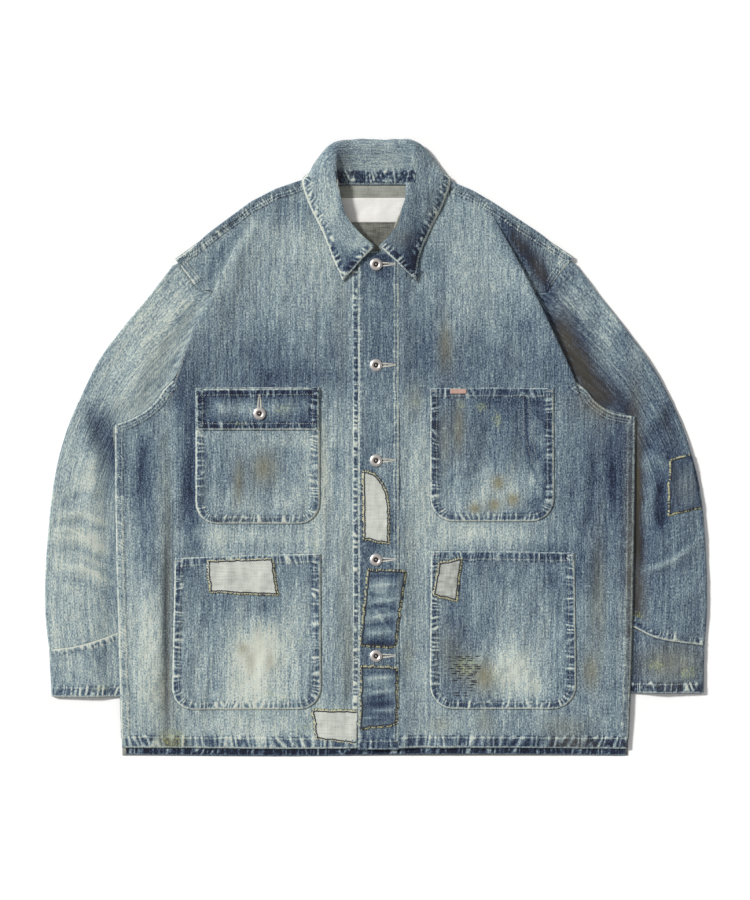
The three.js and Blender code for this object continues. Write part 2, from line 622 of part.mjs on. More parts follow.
for (const [name, corners, carrier, colour] of [
  ['band_light_patch', bandLightPatch, band, colours.lightPatch],
  ['band_upper_patch', bandUpperPatch, band, colours.darkPatch],
  ['band_lower_patch', bandLowerPatch, band, colours.darkPatch],
  ['lower_pocket_patch', lowerPocketPatch, pockets.right_lower_pocket, colours.lightPatch],
  ['hem_patch', hemPatch, fronts.right_front, colours.lightPatch],
  ['small_patch', smallPatch, pockets.left_lower_pocket, colours.lightPatch],
  ['elbow_patch', elbowPatch, { over: sleeves.left.topNet }, colours.darkPatch],
  ['pocket_tab', pocketTab, pockets.left_chest_pocket, colours.tab],
]) {
  const patch = laid(fourCornerNet(corners, [3, 3]), carrier.over, LAY_GAP, THIN_CLOTH);
  add(name, wall(patch.under, patch.over), finish(colour));
}

const [labelX, labelY] = neckLabel.centre;
const [labelWide, labelHigh] = neckLabel.size;
const label = new THREE.BoxGeometry(labelWide, labelHigh, THIN_CLOTH);
label.translate(labelX, labelY, DENIM + LABEL_GAP + THIN_CLOTH / 2);
add('neck_label', label, finish(colours.label, LABEL_ROUGHNESS));

// Collar: one net from the neck seam to the outer edge, thickened both ways
function mirroredStation(station, index) {
  const last = collarStations.length - 1;
  return station.map(([x, y, z], line) => {
    const spread = index === last ? (POINT_SPREAD * line) / (station.length - 1) : 0;
    const raised = index >= last - 1 && line > 1 ? POINT_LIFT : 0;
    return [spread - x, y, z + raised];
  });
}

function spaceCurve(points) {
  return new THREE.CatmullRomCurve3(points.map((point) => new THREE.Vector3(...point)), false, 'centripetal');
}

function collarNet() {
  const otherHalf = collarStations.map(mirroredStation).slice(1);
  const stations = [...[...collarStations].reverse(), ...otherHalf];
  const lines = stations[0].map((_, line) => spaceCurve(stations.map((station) => station[line]))
    .getPoints(2 * COLLAR_CELLS_PER_HALF));
  return lines[0].map((_, column) => spaceCurve(lines.map((line) => line[column]))
    .getPoints(COLLAR_CELLS_ACROSS)
    .map(({ x, y, z }) => [x + COLLAR_X, y, Math.max(z, COLLAR_FLOOR)]));
}

const collar = collarNet();
const collarFaces = [-COLLAR_HALF_WALL, COLLAR_HALF_WALL].map((amount) => offsetNet(collar, amount));
add('collar', wall(...collarFaces), finish(colours.denim));

// Buttons: a dished metal ring, turned about its own axis. The profile runs from the seat over the
// rim into the dish, in shares of the radius and the height.
const BUTTON_PROFILE = [[0, 0], [0.8, 0], [1, 0.35], [0.92, 0.8], [0.72, 1], [0.5, 0.8], [0.36, 0.45],
  [0, 0.45]];

function button([x, y], carrier) {
  const points = BUTTON_PROFILE.map(([r, z]) => new THREE.Vector2(r * BUTTON_RADIUS, z * BUTTON_HEIGHT));
  const geometry = new THREE.LatheGeometry(points, BUTTON_SIDES);
  geometry.rotateX(Math.PI / 2);
  const seats = steps(BUTTON_SIDES).map((share) => {
    const turn = 2 * Math.PI * share;
    return heightOver(carrier, x + BUTTON_RADIUS * Math.cos(turn), y + BUTTON_RADIUS * Math.sin(turn));
  });
  geometry.translate(x, y, Math.max(...seats) + BUTTON_GAP);
  return geometry;
}

for (const [name, place, carrier] of [
  ...BUTTON_YS.map((y, step) => [`front_button_${step + 1}`, [BUTTON_X, y], band.over]),
  ['flap_button', FLAP_BUTTON, chestFlap.over],
]) {
  add(name, button(place, carrier), finish(colours.metal, METAL_ROUGHNESS, METALNESS));
}

export default jacket;
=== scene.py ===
"""Looks of a worn and mended denim chore jacket, buttoned and laid flat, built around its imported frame.

The classes below work in millimetres: x runs to the wearer's left, y to the collar and z up from the
surface below. A mesh is turned to metres when it is made.
"""
import logging
import math
from collections.abc import Sequence
from dataclasses import dataclass, field
from enum import Enum

import bpy
import numpy as np
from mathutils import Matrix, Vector
from mathutils.bvhtree import BVHTree


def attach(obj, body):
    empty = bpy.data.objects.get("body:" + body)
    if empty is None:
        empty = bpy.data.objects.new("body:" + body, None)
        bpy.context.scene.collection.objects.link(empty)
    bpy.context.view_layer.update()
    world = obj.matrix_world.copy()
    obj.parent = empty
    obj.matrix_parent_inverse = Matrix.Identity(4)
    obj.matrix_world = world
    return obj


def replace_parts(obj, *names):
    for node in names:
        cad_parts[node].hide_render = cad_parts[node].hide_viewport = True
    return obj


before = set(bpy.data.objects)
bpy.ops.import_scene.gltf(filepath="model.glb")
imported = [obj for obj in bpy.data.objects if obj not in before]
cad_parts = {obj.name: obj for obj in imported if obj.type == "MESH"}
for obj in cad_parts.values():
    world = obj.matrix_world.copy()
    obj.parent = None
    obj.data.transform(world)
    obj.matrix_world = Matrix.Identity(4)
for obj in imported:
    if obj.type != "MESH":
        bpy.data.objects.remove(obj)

LOG = logging.getLogger("jacket")
MM = 0.001
BODY = "root"

# Thicknesses of cloth and the gaps between pieces
DENIM = 1.2
THIN_CLOTH = 1.0
SEAM_GAP = 0.4
LAY_GAP = 0.45
PATCH_GAP = 0.4
FLOOR_GAP = 0.03

# Heights of the layers, as the frame has them
SLEEVE_TUCKED_TOP = 4.2
SLEEVE_CROWN = 2.1
BACK_LIFT = SLEEVE_TUCKED_TOP + SEAM_GAP
FRONT_LEVEL = 4.0
FRONT_LIFT = BACK_LIFT + DENIM + 0.3 - FRONT_LEVEL
FRONT_LAP = DENIM + 0.6
BAND_LIFT = FRONT_LAP + DENIM + 0.5
LAP_RAMP_X = (30.0, 64.0)
HEM_FRONT_Y = -391.0
HEM_BACK_Y = -401.0
TUCK_RAMP = 45.0
BACK_EARLY_LIFT = 18.0
FRONT_EARLY_LIFT = 32.0

Array = np.ndarray
Point = tuple[float, float]
Oval = tuple[float, float, float, float, float]  # a soft oval: its middle's x and y, its half-widths and its amount


# Shapes in the plane


def smooth(low: float, high: float, value: Array) -> Array:
    """Rises softly from 0 at low to 1 at high."""
    t = np.clip((np.asarray(value, float) - low) / (high - low), 0.0, 1.0)
    return t * t * (3 - 2 * t)


def lerp(a: Array, b: Array, t: Array) -> Array:
    """Goes straight from a to b as t goes from 0 to 1."""
    return a + (b - a) * t


def catmull(points: Sequence[Sequence[float]], count: int) -> Array:
    """A smooth centripetal curve through the points, with equal steps of station.

    Args:
        points: The points that it goes through, in two or three dimensions.
        count: How many cells to cut it into.

    Returns:
        An array of count + 1 points.
    """
    p = np.asarray(points, float)
    p = np.vstack([2 * p[0] - p[1], p, 2 * p[-1] - p[-2]])
    out = []
    for step in range(count + 1):
        place = (len(points) - 1) * step / count
        k = min(int(place), len(points) - 2)
        t = place - k
        a, b, c, d = p[k:k + 4]
        gaps = [max(1e-4, float(np.linalg.norm(s - r)) ** 0.5) for r, s in ((a, b), (b, c), (c, d))]
        t1 = ((b - a) / gaps[0] - (c - a) / (gaps[0] + gaps[1]) + (c - b) / gaps[1]) * gaps[1]
        t2 = ((c - b) / gaps[1] - (d - b) / (gaps[1] + gaps[2]) + (d - c) / gaps[2]) * gaps[1]
        out.append(b + t1 * t + (-3 * b + 3 * c - 2 * t1 - t2) * t ** 2 + (2 * b - 2 * c + t1 + t2) * t ** 3)
    return np.array(out)


def broken(points: Sequence[Sequence[float]], count: int) -> Array:
    """Points at equal steps of station along a broken line.

    Args:
        points: The line's corners.
        count: How many cells to cut it into.

    Returns:
        An array of count + 1 points.
    """
    p = np.asarray(points, float)
    place = np.linspace(0, len(p) - 1, count + 1)
    return np.stack([np.interp(place, np.arange(len(p)), p[:, axis]) for axis in range(p.shape[1])], 1)


def along(line: Array) -> Array:
    """The length along a line at each of its points."""
    return np.concatenate([[0.0], np.cumsum(np.linalg.norm(np.diff(line, axis=0), axis=1))])


def spaced(line: Array, shares: Array) -> Array:
    """The points at given shares of a line's length.

    Args:
        line: Points in order.
        shares: Shares of the whole length, from 0 to 1.

    Returns:
        A point for each share.
    """
    line = np.asarray(line, float)
    run = along(line)
    return np.stack([np.interp(np.asarray(shares) * run[-1], run, line[:, axis]) for axis in range(line.shape[1])], 1)


def resampled(line: Sequence[Sequence[float]], step: float) -> Array:
    """A line cut into equal steps.

    Args:
        line: The line's points.
        step: About how long a step is.

    Returns:
        The points between the steps.
    """
    line = np.asarray(line, float)
    count = max(2, int(round(along(line)[-1] / step)))
    return spaced(line, np.linspace(0, 1, count + 1))


def left_of(line: Array, soften: bool = False) -> Array:
    """The way to the left of a line at each of its points.

    Args:
        line: The line's points in the plan.
        soften: Whether to even it out over five points.

    Returns:
        Steps of length 1.
    """
    heading = np.gradient(line, axis=0)
    if soften and len(line) > 9:
        padded = np.pad(heading, ((2, 2), (0, 0)), "edge")
        heading = np.stack([np.convolve(padded[:, axis], np.ones(5) / 5, "valid") for axis in (0, 1)], 1)
    left = np.stack([-heading[:, 1], heading[:, 0]], 1)
    return left / np.maximum(np.linalg.norm(left, axis=1, keepdims=True), 1e-6)


def name_seed(name: str) -> int:
    """A seed of its own for each name."""
    return sum(map(ord, name))


def distance_to(line: Array, x: Array, y: Array) -> tuple[Array, Array]:
    """How far places are from a broken line, and how far along it the nearest point is.

    Args:
        line: The line's points.
        x: The places' x, in an array of any shape.
        y: Their y.

    Returns:
        The distances and the lengths along the line.
    """
    best = np.full(np.shape(x), 1e9)
    place = np.zeros(np.shape(x))
    run = along(line)
    for k, (a, b) in enumerate(zip(line[:-1], line[1:])):
        step = b - a
        size = max(float(step @ step), 1e-9)
        t = np.clip(((x - a[0]) * step[0] + (y - a[1]) * step[1]) / size, 0, 1)
        far = np.hypot(x - a[0] - t * step[0], y - a[1] - t * step[1])
        nearer = far < best
        best = np.where(nearer, far, best)
        place = np.where(nearer, run[k] + t * math.sqrt(size), place)
    return best, place


def inside(ring: Array, x: Array, y: Array) -> Array:
    """Whether places are inside a closed ring.

    Args:
        ring: The ring's points.
        x: The places' x.
        y: Their y.

    Returns:
        True for each place inside.
    """
    found = np.zeros(np.shape(x), bool)
    for (x1, y1), (x2, y2) in zip(ring, np.roll(ring, -1, axis=0)):
        if y1 != y2:
            found ^= ((y1 > y) != (y2 > y)) & (x < x1 + (y - y1) / (y2 - y1) * (x2 - x1))
    return found


def stretched(left: Array, right: Array, bottom: Array, top: Array) -> Array:
    """A net stretched between four edges, columns from left to right and rows upwards.

    Args:
        left: The left edge's points, upwards.
        right: The right edge's points, upwards.
        bottom: The bottom edge's points, from left to right.
        top: The top edge's points, from left to right.

    Returns:
        An array of [column, row, 2].
    """
    u = np.linspace(0, 1, len(bottom))[:, None, None]
    v = np.linspace(0, 1, len(left))[None, :, None]
    corners = (1 - u) * (1 - v) * bottom[0] + u * (1 - v) * bottom[-1] + (1 - u) * v * top[0] + u * v * top[-1]
    return (1 - u) * left[None] + u * right[None] + (1 - v) * bottom[:, None] + v * top[:, None] - corners


def four_corners(corners: Sequence[Point], columns: int, rows: int) -> Array:
    """A net between four corners.

    Args:
        corners: The bottom left, bottom right, top right and top left corner.
        columns: How many columns of cells it has.
        rows: How many rows of cells it has.

    Returns:
        An array of [column, row, 2].
    """
    a, b, c, d = (np.asarray(corner, float) for corner in corners)
    u = np.linspace(0, 1, columns + 1)[:, None, None]
    v = np.linspace(0, 1, rows + 1)[None, :, None]
    return lerp(lerp(a, b, u), lerp(d, c, u), v)


class Drift:
    """Smooth seeded unevenness, in the plane or along a line, from about -1 to 1."""

    def __init__(self, seed: int, wavelength: float, count: int = 14) -> None:
        """Draws the waves.

        Args:
            seed: The seed of its random numbers.
            wavelength: The usual length of a wave.
            count: How many waves add up.
        """
        rng = np.random.default_rng(seed)
        turn = rng.uniform(0, math.tau, count)
        rate = math.tau / (wavelength * rng.uniform(0.6, 1.7, count))
        self.kx, self.ky = rate * np.cos(turn), rate * np.sin(turn)
        self.phase = rng.uniform(0, math.tau, count)
        self.scale = math.sqrt(2 / count)

    def at(self, x: Array, y: Array = 0.0) -> Array:
        """The unevenness at places.

        Args:
            x: The places' x, or the lengths along a line.
            y: Their y.

        Returns:
            A value for each place.
        """
        x, y = np.asarray(x, float), np.asarray(y, float)
        total = sum(np.cos(kx * x + ky * y + p) for kx, ky, p in zip(self.kx, self.ky, self.phase))
        return total * self.scale


def spread(start: float, ovals: Sequence[Oval], x: Array, y: Array) -> Array:
    """Adds soft ovals to a start value.

    Args:
        start: The value away from all ovals.
        ovals: The ovals.
        x: The places' x.
        y: Their y.

    Returns:
        The value at each place.
    """
    total = np.full(np.shape(x), start, float)
    for middle_x, middle_y, half_x, half_y, amount in ovals:
        total = total + amount * np.exp(-((x - middle_x) / half_x) ** 2 - ((y - middle_y) / half_y) ** 2)
    return total


@dataclass(frozen=True)
class Crease:
    """A soft ridge, or with a negative height a trough, along a line, with a change of tone that is partly wear and
    partly painted light on ridges and painted shade in troughs; with no height it is a band of painted shade where its
    tone is negative and painted light where it is positive.
    """

    line: tuple[Point, ...]
    width: float
    height: float
    tone: float = 0.0

    def shape(self, x: Array, y: Array) -> Array:
        """How much of the crease is at places.

        Args:
            x: The places' x.
            y: Their y.

        Returns:
            A share from 0 to 1 for each place.
        """
        line = np.asarray(self.line, float)
        far, place = distance_to(line, x, y)
        share = np.clip(place / along(line)[-1], 0, 1)
        return np.exp(-((far / self.width) ** 2)) * np.sqrt(np.clip(4 * share * (1 - share), 0.0, 1.0))


@dataclass(frozen=True)
class Wear:
    """The tone, soil, specks and creases of one piece of cloth; its washes, soil and crease tones also hold painted
    shade and painted light.
    """

    tone: float
    washes_and_shade: tuple[Oval, ...] = ()
    soil: tuple[Oval, ...] = ()
    specks: tuple[Oval, ...] = ()
    creases: tuple[Crease, ...] = ()
    rumple: float = 0.35

    def tone_at(self, x: Array, y: Array) -> Array:
        """The tone at places, 0 for deep blue and 1 for washed out, with painted shade and painted light added."""
        total = spread(self.tone, self.washes_and_shade, x, y)
        return sum((c.tone * c.shape(x, y) for c in self.creases if c.tone), total)

    def soil_at(self, x: Array, y: Array) -> Array:
        """How soiled places are, and how far painted shade there is tinted towards the soil colour."""
        return spread(0.0, self.soil, x, y)

    def specks_at(self, x: Array, y: Array) -> Array:
        """How thickly pale specks lie at places."""
        return spread(0.0, self.specks, x, y)

    def relief(self, x: Array, y: Array, seed: int) -> Array:
        """The height of creases and rumples at places."""
        total = sum((c.height * c.shape(x, y) for c in self.creases), np.zeros(np.shape(x)))
        return total + self.rumple * (Drift(seed, 34).at(x, y * 0.6) + 0.5 * Drift(seed + 1, 13).at(x, y * 0.7))


# Finishes


class Nodes:
    """A short way to add nodes to a material."""

    def __init__(self, name: str) -> None:
        """Starts an empty material.

        Args:
            name: Its name.
        """
        self.material = bpy.data.materials.new(name)
        self.material.use_nodes = True
        self.tree = self.material.node_tree
        self.tree.nodes.clear()

    def add(self, kind: str, settings: dict | None = None, **inputs: object) -> bpy.types.Node:
        """Adds a node.

        Args:
            kind: The node's type, without its prefix.
            settings: Properties to set on it.
            inputs: Values or sockets for its inputs, by name with _ for a space, or in0, in1 by number.

        Returns:
            The node.
        """
        node = self.tree.nodes.new("ShaderNode" + kind)
        for key, value in (settings or {}).items():
            setattr(node, key, value)
        for key, value in inputs.items():
            numbered = key[:2] == "in" and key[2:].isdigit()
            socket = node.inputs[int(key[2:]) if numbered else key.replace("_", " ")]
            if isinstance(value, bpy.types.NodeSocket):
                self.tree.links.new(value, socket)
            else:
                socket.default_value = value
        return node

    def math(self, operation: str, a: object, b: object = 0.0, clamp: bool = False) -> bpy.types.NodeSocket:
        """A sum, product or other operation of two values."""
        return self.add("Math", {"operation": operation, "use_clamp": clamp}, in0=a, in1=b).outputs[0]

    def attribute(self, name: str) -> bpy.types.NodeSocket:
        """A number that the mesh carries."""
        return self.add("Attribute", {"attribute_name": name}).outputs["Fac"]

    def noise(
        self, vector: bpy.types.NodeSocket, scale: Sequence[float], detail: float = 2.0, rough: float = 0.5,
    ) -> bpy.types.NodeSocket:
        """Noise with its own scale on each axis, about 0.5 on average."""
        mapped = self.add("Mapping", Vector=vector, Scale=tuple(scale)).outputs[0]
        return self.add("TexNoise", Vector=mapped, Scale=1.0, Detail=detail, Roughness=rough).outputs["Fac"]

    def ramp(self, factor: bpy.types.NodeSocket, stops: Sequence[tuple[float, Sequence[int]]]) -> bpy.types.NodeSocket:
        """Colours by a factor.

        Args:
            factor: The factor, from 0 to 1.
            stops: Places on the ramp, each with its red, green and blue up to 255.

        Returns:
            The colour.
        """
        node = self.add("ValToRGB", Fac=factor)
        elements = node.color_ramp.elements
        while len(elements) < len(stops):
            elements.new(1.0)
        for element, (place, colour) in zip(elements, stops):
            element.position = place
            element.color = screen(colour)
        return node.outputs["Color"]

    def mix(self, factor: object, a: object, b: object) -> bpy.types.NodeSocket:
        """Mixes two colours, a where the factor is 0 and b where it is 1."""
        return self.add("Mix", {"data_type": "RGBA"}, in0=factor, in6=a, in7=b).outputs[2]

    def finish(self, **inputs: object) -> bpy.types.Material:
        """Ends in a principled shader.

        Args:
            inputs: The shader's inputs, by name with _ for a space.

        Returns:
            The finished material.
        """
        shader = self.add("BsdfPrincipled", **inputs)
        out = self.add("OutputMaterial")
        self.tree.links.new(shader.outputs[0], out.inputs[0])
        return self.material


EXPOSURE = 1.19  # what a level white surface gets from the lights


def screen(colour: Sequence[int]) -> tuple[float, float, float, float]:
    """The paint that shows as a colour of up to 255 under the scene's lights."""
    linear = [((c / 255 + 0.055) / 1.055) ** 2.4 if c > 10 else c / 255 / 12.92 for c in colour]
    return (*(min(0.95, value / EXPOSURE) for value in linear), 1.0)


INDIGO = (
    (-0.064, (15, 23, 43)), (0.048, (26, 39, 64)), (0.15, (42, 58, 85)), (0.253, (61, 78, 102)), (0.364, (81, 99, 117)),
    (0.475, (101, 119, 133)), (0.577, (119, 138, 149)), (0.68, (138, 156, 164)), (0.783, (158, 176, 179)),
    (0.877, (177, 192, 190)), (0.962, (196, 207, 200)), (1.09, (216, 221, 209)),
)
TONE_LOW, TONE_HIGH = -0.2, 1.25
# The first colour tints both stains and painted shade.
SOIL_AND_SHADE_TINT, PLAIN_SOIL, FLECK = (132, 122, 84), (150, 138, 104), (176, 186, 128)


@dataclass(frozen=True)
class Denim:
    """Washed indigo twill: grain and slubs along the warp, soil that also tints painted shade, specks of bare weft."""

    name: str
    grain: float = 1.7
    slub: float = 0.5
    shift: float = 0.0

    def make(self) -> bpy.types.Material:
        """Builds the material.

        Returns:
            The material.
        """
        n = Nodes(self.name)
        cloth = n.add("UVMap", {"uv_map": "cloth"}).outputs[0]
        tone = n.attribute("tone")
        slubs = n.noise(cloth, (300, 11, 1), 3.0, 0.55)
        fine = n.noise(cloth, (620, 60, 1), 2.0, 0.6)
        grain = n.noise(cloth, (560, 380, 1), 3.0, 0.7)
        warp = n.noise(cloth, (250, 1.6, 1), 2.0, 0.6)
        blotch = n.noise(cloth, (30, 18, 1), 3.0, 0.6)
        total = n.math("ADD", tone, self.shift)
        parts = (
            (slubs, self.slub), (fine, self.slub * 1.7), (warp, self.slub * 0.7), (grain, self.grain), (blotch, 0.34))
        for part, amount in parts:
            total = n.math("ADD", total, n.math("MULTIPLY", n.math("SUBTRACT", part, 0.5), amount))
        factor = n.add("MapRange", Value=total, From_Min=TONE_LOW, From_Max=TONE_HIGH).outputs[0]
        stops = [((place - TONE_LOW) / (TONE_HIGH - TONE_LOW), colour) for place, colour in INDIGO]
        blue = n.ramp(factor, stops)
        # Soil mixes in its colour, which also tints painted shade to a neutral grey.
        soil_and_shade_mix = n.math("MULTIPLY", n.attribute("soil"), n.math("ADD", slubs, 0.3), clamp=True)
        soil_and_shade_tinted = n.mix(soil_and_shade_mix, blue, n.mix(0.72, blue, screen(SOIL_AND_SHADE_TINT)))
        flecks = n.noise(cloth, (560, 260, 1), 3.0, 0.75)
        thick = n.math("MINIMUM", n.math("MULTIPLY", n.attribute("speck"), 0.24), 0.2)
        cover = n.add("MapRange", Value=n.math("ADD", flecks, thick), From_Min=0.7, From_Max=0.78).outputs[0]
        colour = n.mix(n.math("MULTIPLY", cover, 0.7), soil_and_shade_tinted, screen(FLECK))
        twill = n.add(
            "TexWave", {"wave_type": "BANDS", "bands_direction": "DIAGONAL"},
            Vector=cloth, Scale=150.0, Distortion=1.5, Detail=1.0)
        rough = n.math("ADD", n.math("MULTIPLY", twill.outputs["Fac"], 0.4), n.math("ADD", grain, slubs))
        bump = n.add("Bump", Strength=0.55, Distance=0.0005, Height=rough)
        return n.finish(
            Base_Color=colour, Roughness=0.88, Sheen_Weight=0.12, Sheen_Roughness=0.6, Specular_IOR_Level=0.25,
            Normal=bump.outputs[0])


@dataclass(frozen=True)
class PlainCloth:
    """A plain woven cloth with slubs across, such as a patch or a label."""

    name: str
    colour: tuple[int, int, int]
    dark: tuple[int, int, int]
    threads: float = 700.0
    roughness: float = 0.9
    sheen: float = 0.1
    bump: float = 0.5

    def make(self) -> bpy.types.Material:
        """Builds the material.

        Returns:
            The material.
        """
        n = Nodes(self.name)
        cloth = n.add("UVMap", {"uv_map": "cloth"}).outputs[0]
        across = n.noise(cloth, (45, self.threads, 1), 2.0, 0.6)
        upright = n.noise(cloth, (self.threads, 45, 1), 2.0, 0.6)
        blotch = n.noise(cloth, (60, 60, 1), 3.0, 0.6)
        weave = n.math("ADD", n.math("MULTIPLY", across, 0.45), n.math("MULTIPLY", upright, 0.3))
        total = n.math("ADD", weave, n.math("MULTIPLY", blotch, 0.35))
        total = n.math("ADD", total, n.math("MULTIPLY", n.math("SUBTRACT", n.attribute("tone"), 0.5), 0.9))
        factor = n.add("MapRange", Value=total, From_Min=0.25, From_Max=0.8).outputs[0]
        light = tuple(min(255, c + 16) for c in self.colour)
        colour = n.ramp(factor, ((0.0, self.dark), (0.55, self.colour), (1.0, light)))
        soil_and_shade_mix = n.math("MULTIPLY", n.attribute("soil"), 0.8, clamp=True)
        colour = n.mix(soil_and_shade_mix, colour, screen(PLAIN_SOIL))
        bump = n.add("Bump", Strength=self.bump, Distance=0.0004, Height=weave)
        return n.finish(
            Base_Color=colour, Roughness=self.roughness, Sheen_Weight=self.sheen, Specular_IOR_Level=0.3,
            Normal=bump.outputs[0])


@dataclass(frozen=True)
class Thread:
    """Sewing thread, each stitch a little different."""

    name: str
    colour: tuple[int, int, int]
    dark: tuple[int, int, int]

    def make(self) -> bpy.types.Material:
        """Builds the material.

        Returns:
            The material.
        """
        n = Nodes(self.name)
        place = n.add("TexCoord").outputs["Object"]
        strand = n.noise(place, (1500, 1500, 1500), 2.0, 0.6)
        uneven = n.math("MULTIPLY", n.math("SUBTRACT", strand, 0.5), 0.7)
        factor = n.math("ADD", n.attribute("tone"), uneven, clamp=True)
        colour = n.ramp(factor, ((0.0, self.dark), (1.0, self.colour)))
        return n.finish(Base_Color=colour, Roughness=0.8, Sheen_Weight=0.1)


@dataclass(frozen=True)
class Metal:
    """Worn cast metal with dull pits."""

    name: str
    colour: tuple[int, int, int]
    dark: tuple[int, int, int]
    roughness: float = 0.38

    def make(self) -> bpy.types.Material:
        """Builds the material.

        Returns:
            The material.
        """
        n = Nodes(self.name)
        place = n.add("TexCoord").outputs["Object"]
        pits = n.noise(place, (700, 700, 700), 4.0, 0.65)
        broad = n.noise(place, (160, 160, 160), 3.0, 0.6)
        factor = n.math("ADD", n.math("MULTIPLY", pits, 0.7), n.math("MULTIPLY", broad, 0.4))
        colour = n.ramp(factor, ((0.36, self.dark), (0.62, self.colour)))
        rough = n.add(
            "MapRange", Value=pits, From_Min=0.3, From_Max=0.7, To_Min=self.roughness + 0.25, To_Max=self.roughness)
        bump = n.add("Bump", Strength=0.35, Distance=0.0003, Height=pits)
        return n.finish(Base_Color=colour, Metallic=0.75, Roughness=rough.outputs[0], Normal=bump.outputs[0])


class Finish(Enum):
    """The jacket's finishes, by the record's slot and what makes them."""

    DENIM = ("denim", Denim("washed_denim"))
    DENIM_INSIDE = ("denim", PlainCloth("denim_inside", (162, 165, 156), (90, 91, 84), 620.0))
    DARK_PATCH = ("dark_patch", Denim("patch_denim", grain=1.3, slub=0.36, shift=-0.02))
    LIGHT_PATCH = ("light_patch", PlainCloth("pale_patch", (208, 212, 204), (146, 152, 146), 480.0))
    LABEL = ("label", PlainCloth("label_satin", (244, 241, 236), (205, 196, 186), 900.0, 0.45, 0.3, 0.2))
    TAB = ("tab", PlainCloth("tab_weave", (198, 164, 150), (150, 118, 104), 900.0, 0.6))
    METAL = ("button_metal", Metal("button_metal", (198, 182, 174), (104, 88, 84)))
    METAL_DARK = ("button_metal", Metal("button_core", (70, 58, 52), (28, 22, 20), 0.5))
    PALE_THREAD = ("denim", Thread("pale_thread", (206, 210, 194), (140, 148, 144)))
    WHITE_THREAD = ("denim", Thread("white_thread", (248, 246, 236), (206, 202, 190)))
    YELLOW_THREAD = ("denim", Thread("yellow_thread", (236, 232, 186), (168, 166, 112)))
    DARK_THREAD = ("denim", Thread("dark_thread", (56, 62, 74), (20, 24, 32)))

    @property
    def slot(self) -> str:
        """The record's material slot."""
        return self.value[0]

    @property
    def material(self) -> bpy.types.Material:
        """The material, made at its first use."""
        recipe = self.value[1]
        return bpy.data.materials.get(recipe.name) or recipe.make()


# Meshes


def make_mesh(
    name: str, points: Array, faces: Array, finishes: Sequence[Finish], numbers: dict[str, Array],
    cloth: Array | None = None, which: Array | None = None,
) -> bpy.types.Object:
    """Makes an object that rides on the jacket's one body.

    Args:
        name: Its name.
        points: Its points in millimetres.
        faces: Faces of three or four corners each, as one array.
        finishes: The finishes of its slots.
        numbers: A number per point, by the attribute's name.
        cloth: Each point's place on the cut cloth, in millimetres.
        which: The slot of each face.

    Returns:
        The object.
    """
    mesh = bpy.data.meshes.new(name)
    count, corners = faces.shape
    mesh.vertices.add(len(points))
    mesh.vertices.foreach_set("co", (np.asarray(points, float) * MM).ravel())
    mesh.loops.add(count * corners)
    mesh.loops.foreach_set("vertex_index", faces.ravel().astype(np.int32))
    mesh.polygons.add(count)
    mesh.polygons.foreach_set("loop_start", np.arange(0, count * corners, corners, dtype=np.int32))
    mesh.polygons.foreach_set("use_smooth", np.ones(count, bool))
    if which is not None:
        mesh.polygons.foreach_set("material_index", which.astype(np.int32))
    if cloth is not None:
        layer = mesh.uv_layers.new(name="cloth")
        layer.uv.foreach_set("vector", (cloth[faces.ravel()] * MM).ravel())
    for key, values in numbers.items():
        mesh.attributes.new(key, "FLOAT", "POINT").data.foreach_set("value", np.asarray(values, float).ravel())
    for finish in finishes:
        mesh.materials.append(finish.material)
    mesh.update(calc_edges=True)
    mesh.validate()
    piece = bpy.data.objects.new(name, mesh)
    bpy.context.scene.collection.objects.link(piece)
    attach(piece, BODY)
    LOG.info("%s: %d faces", name, count)
    return piece


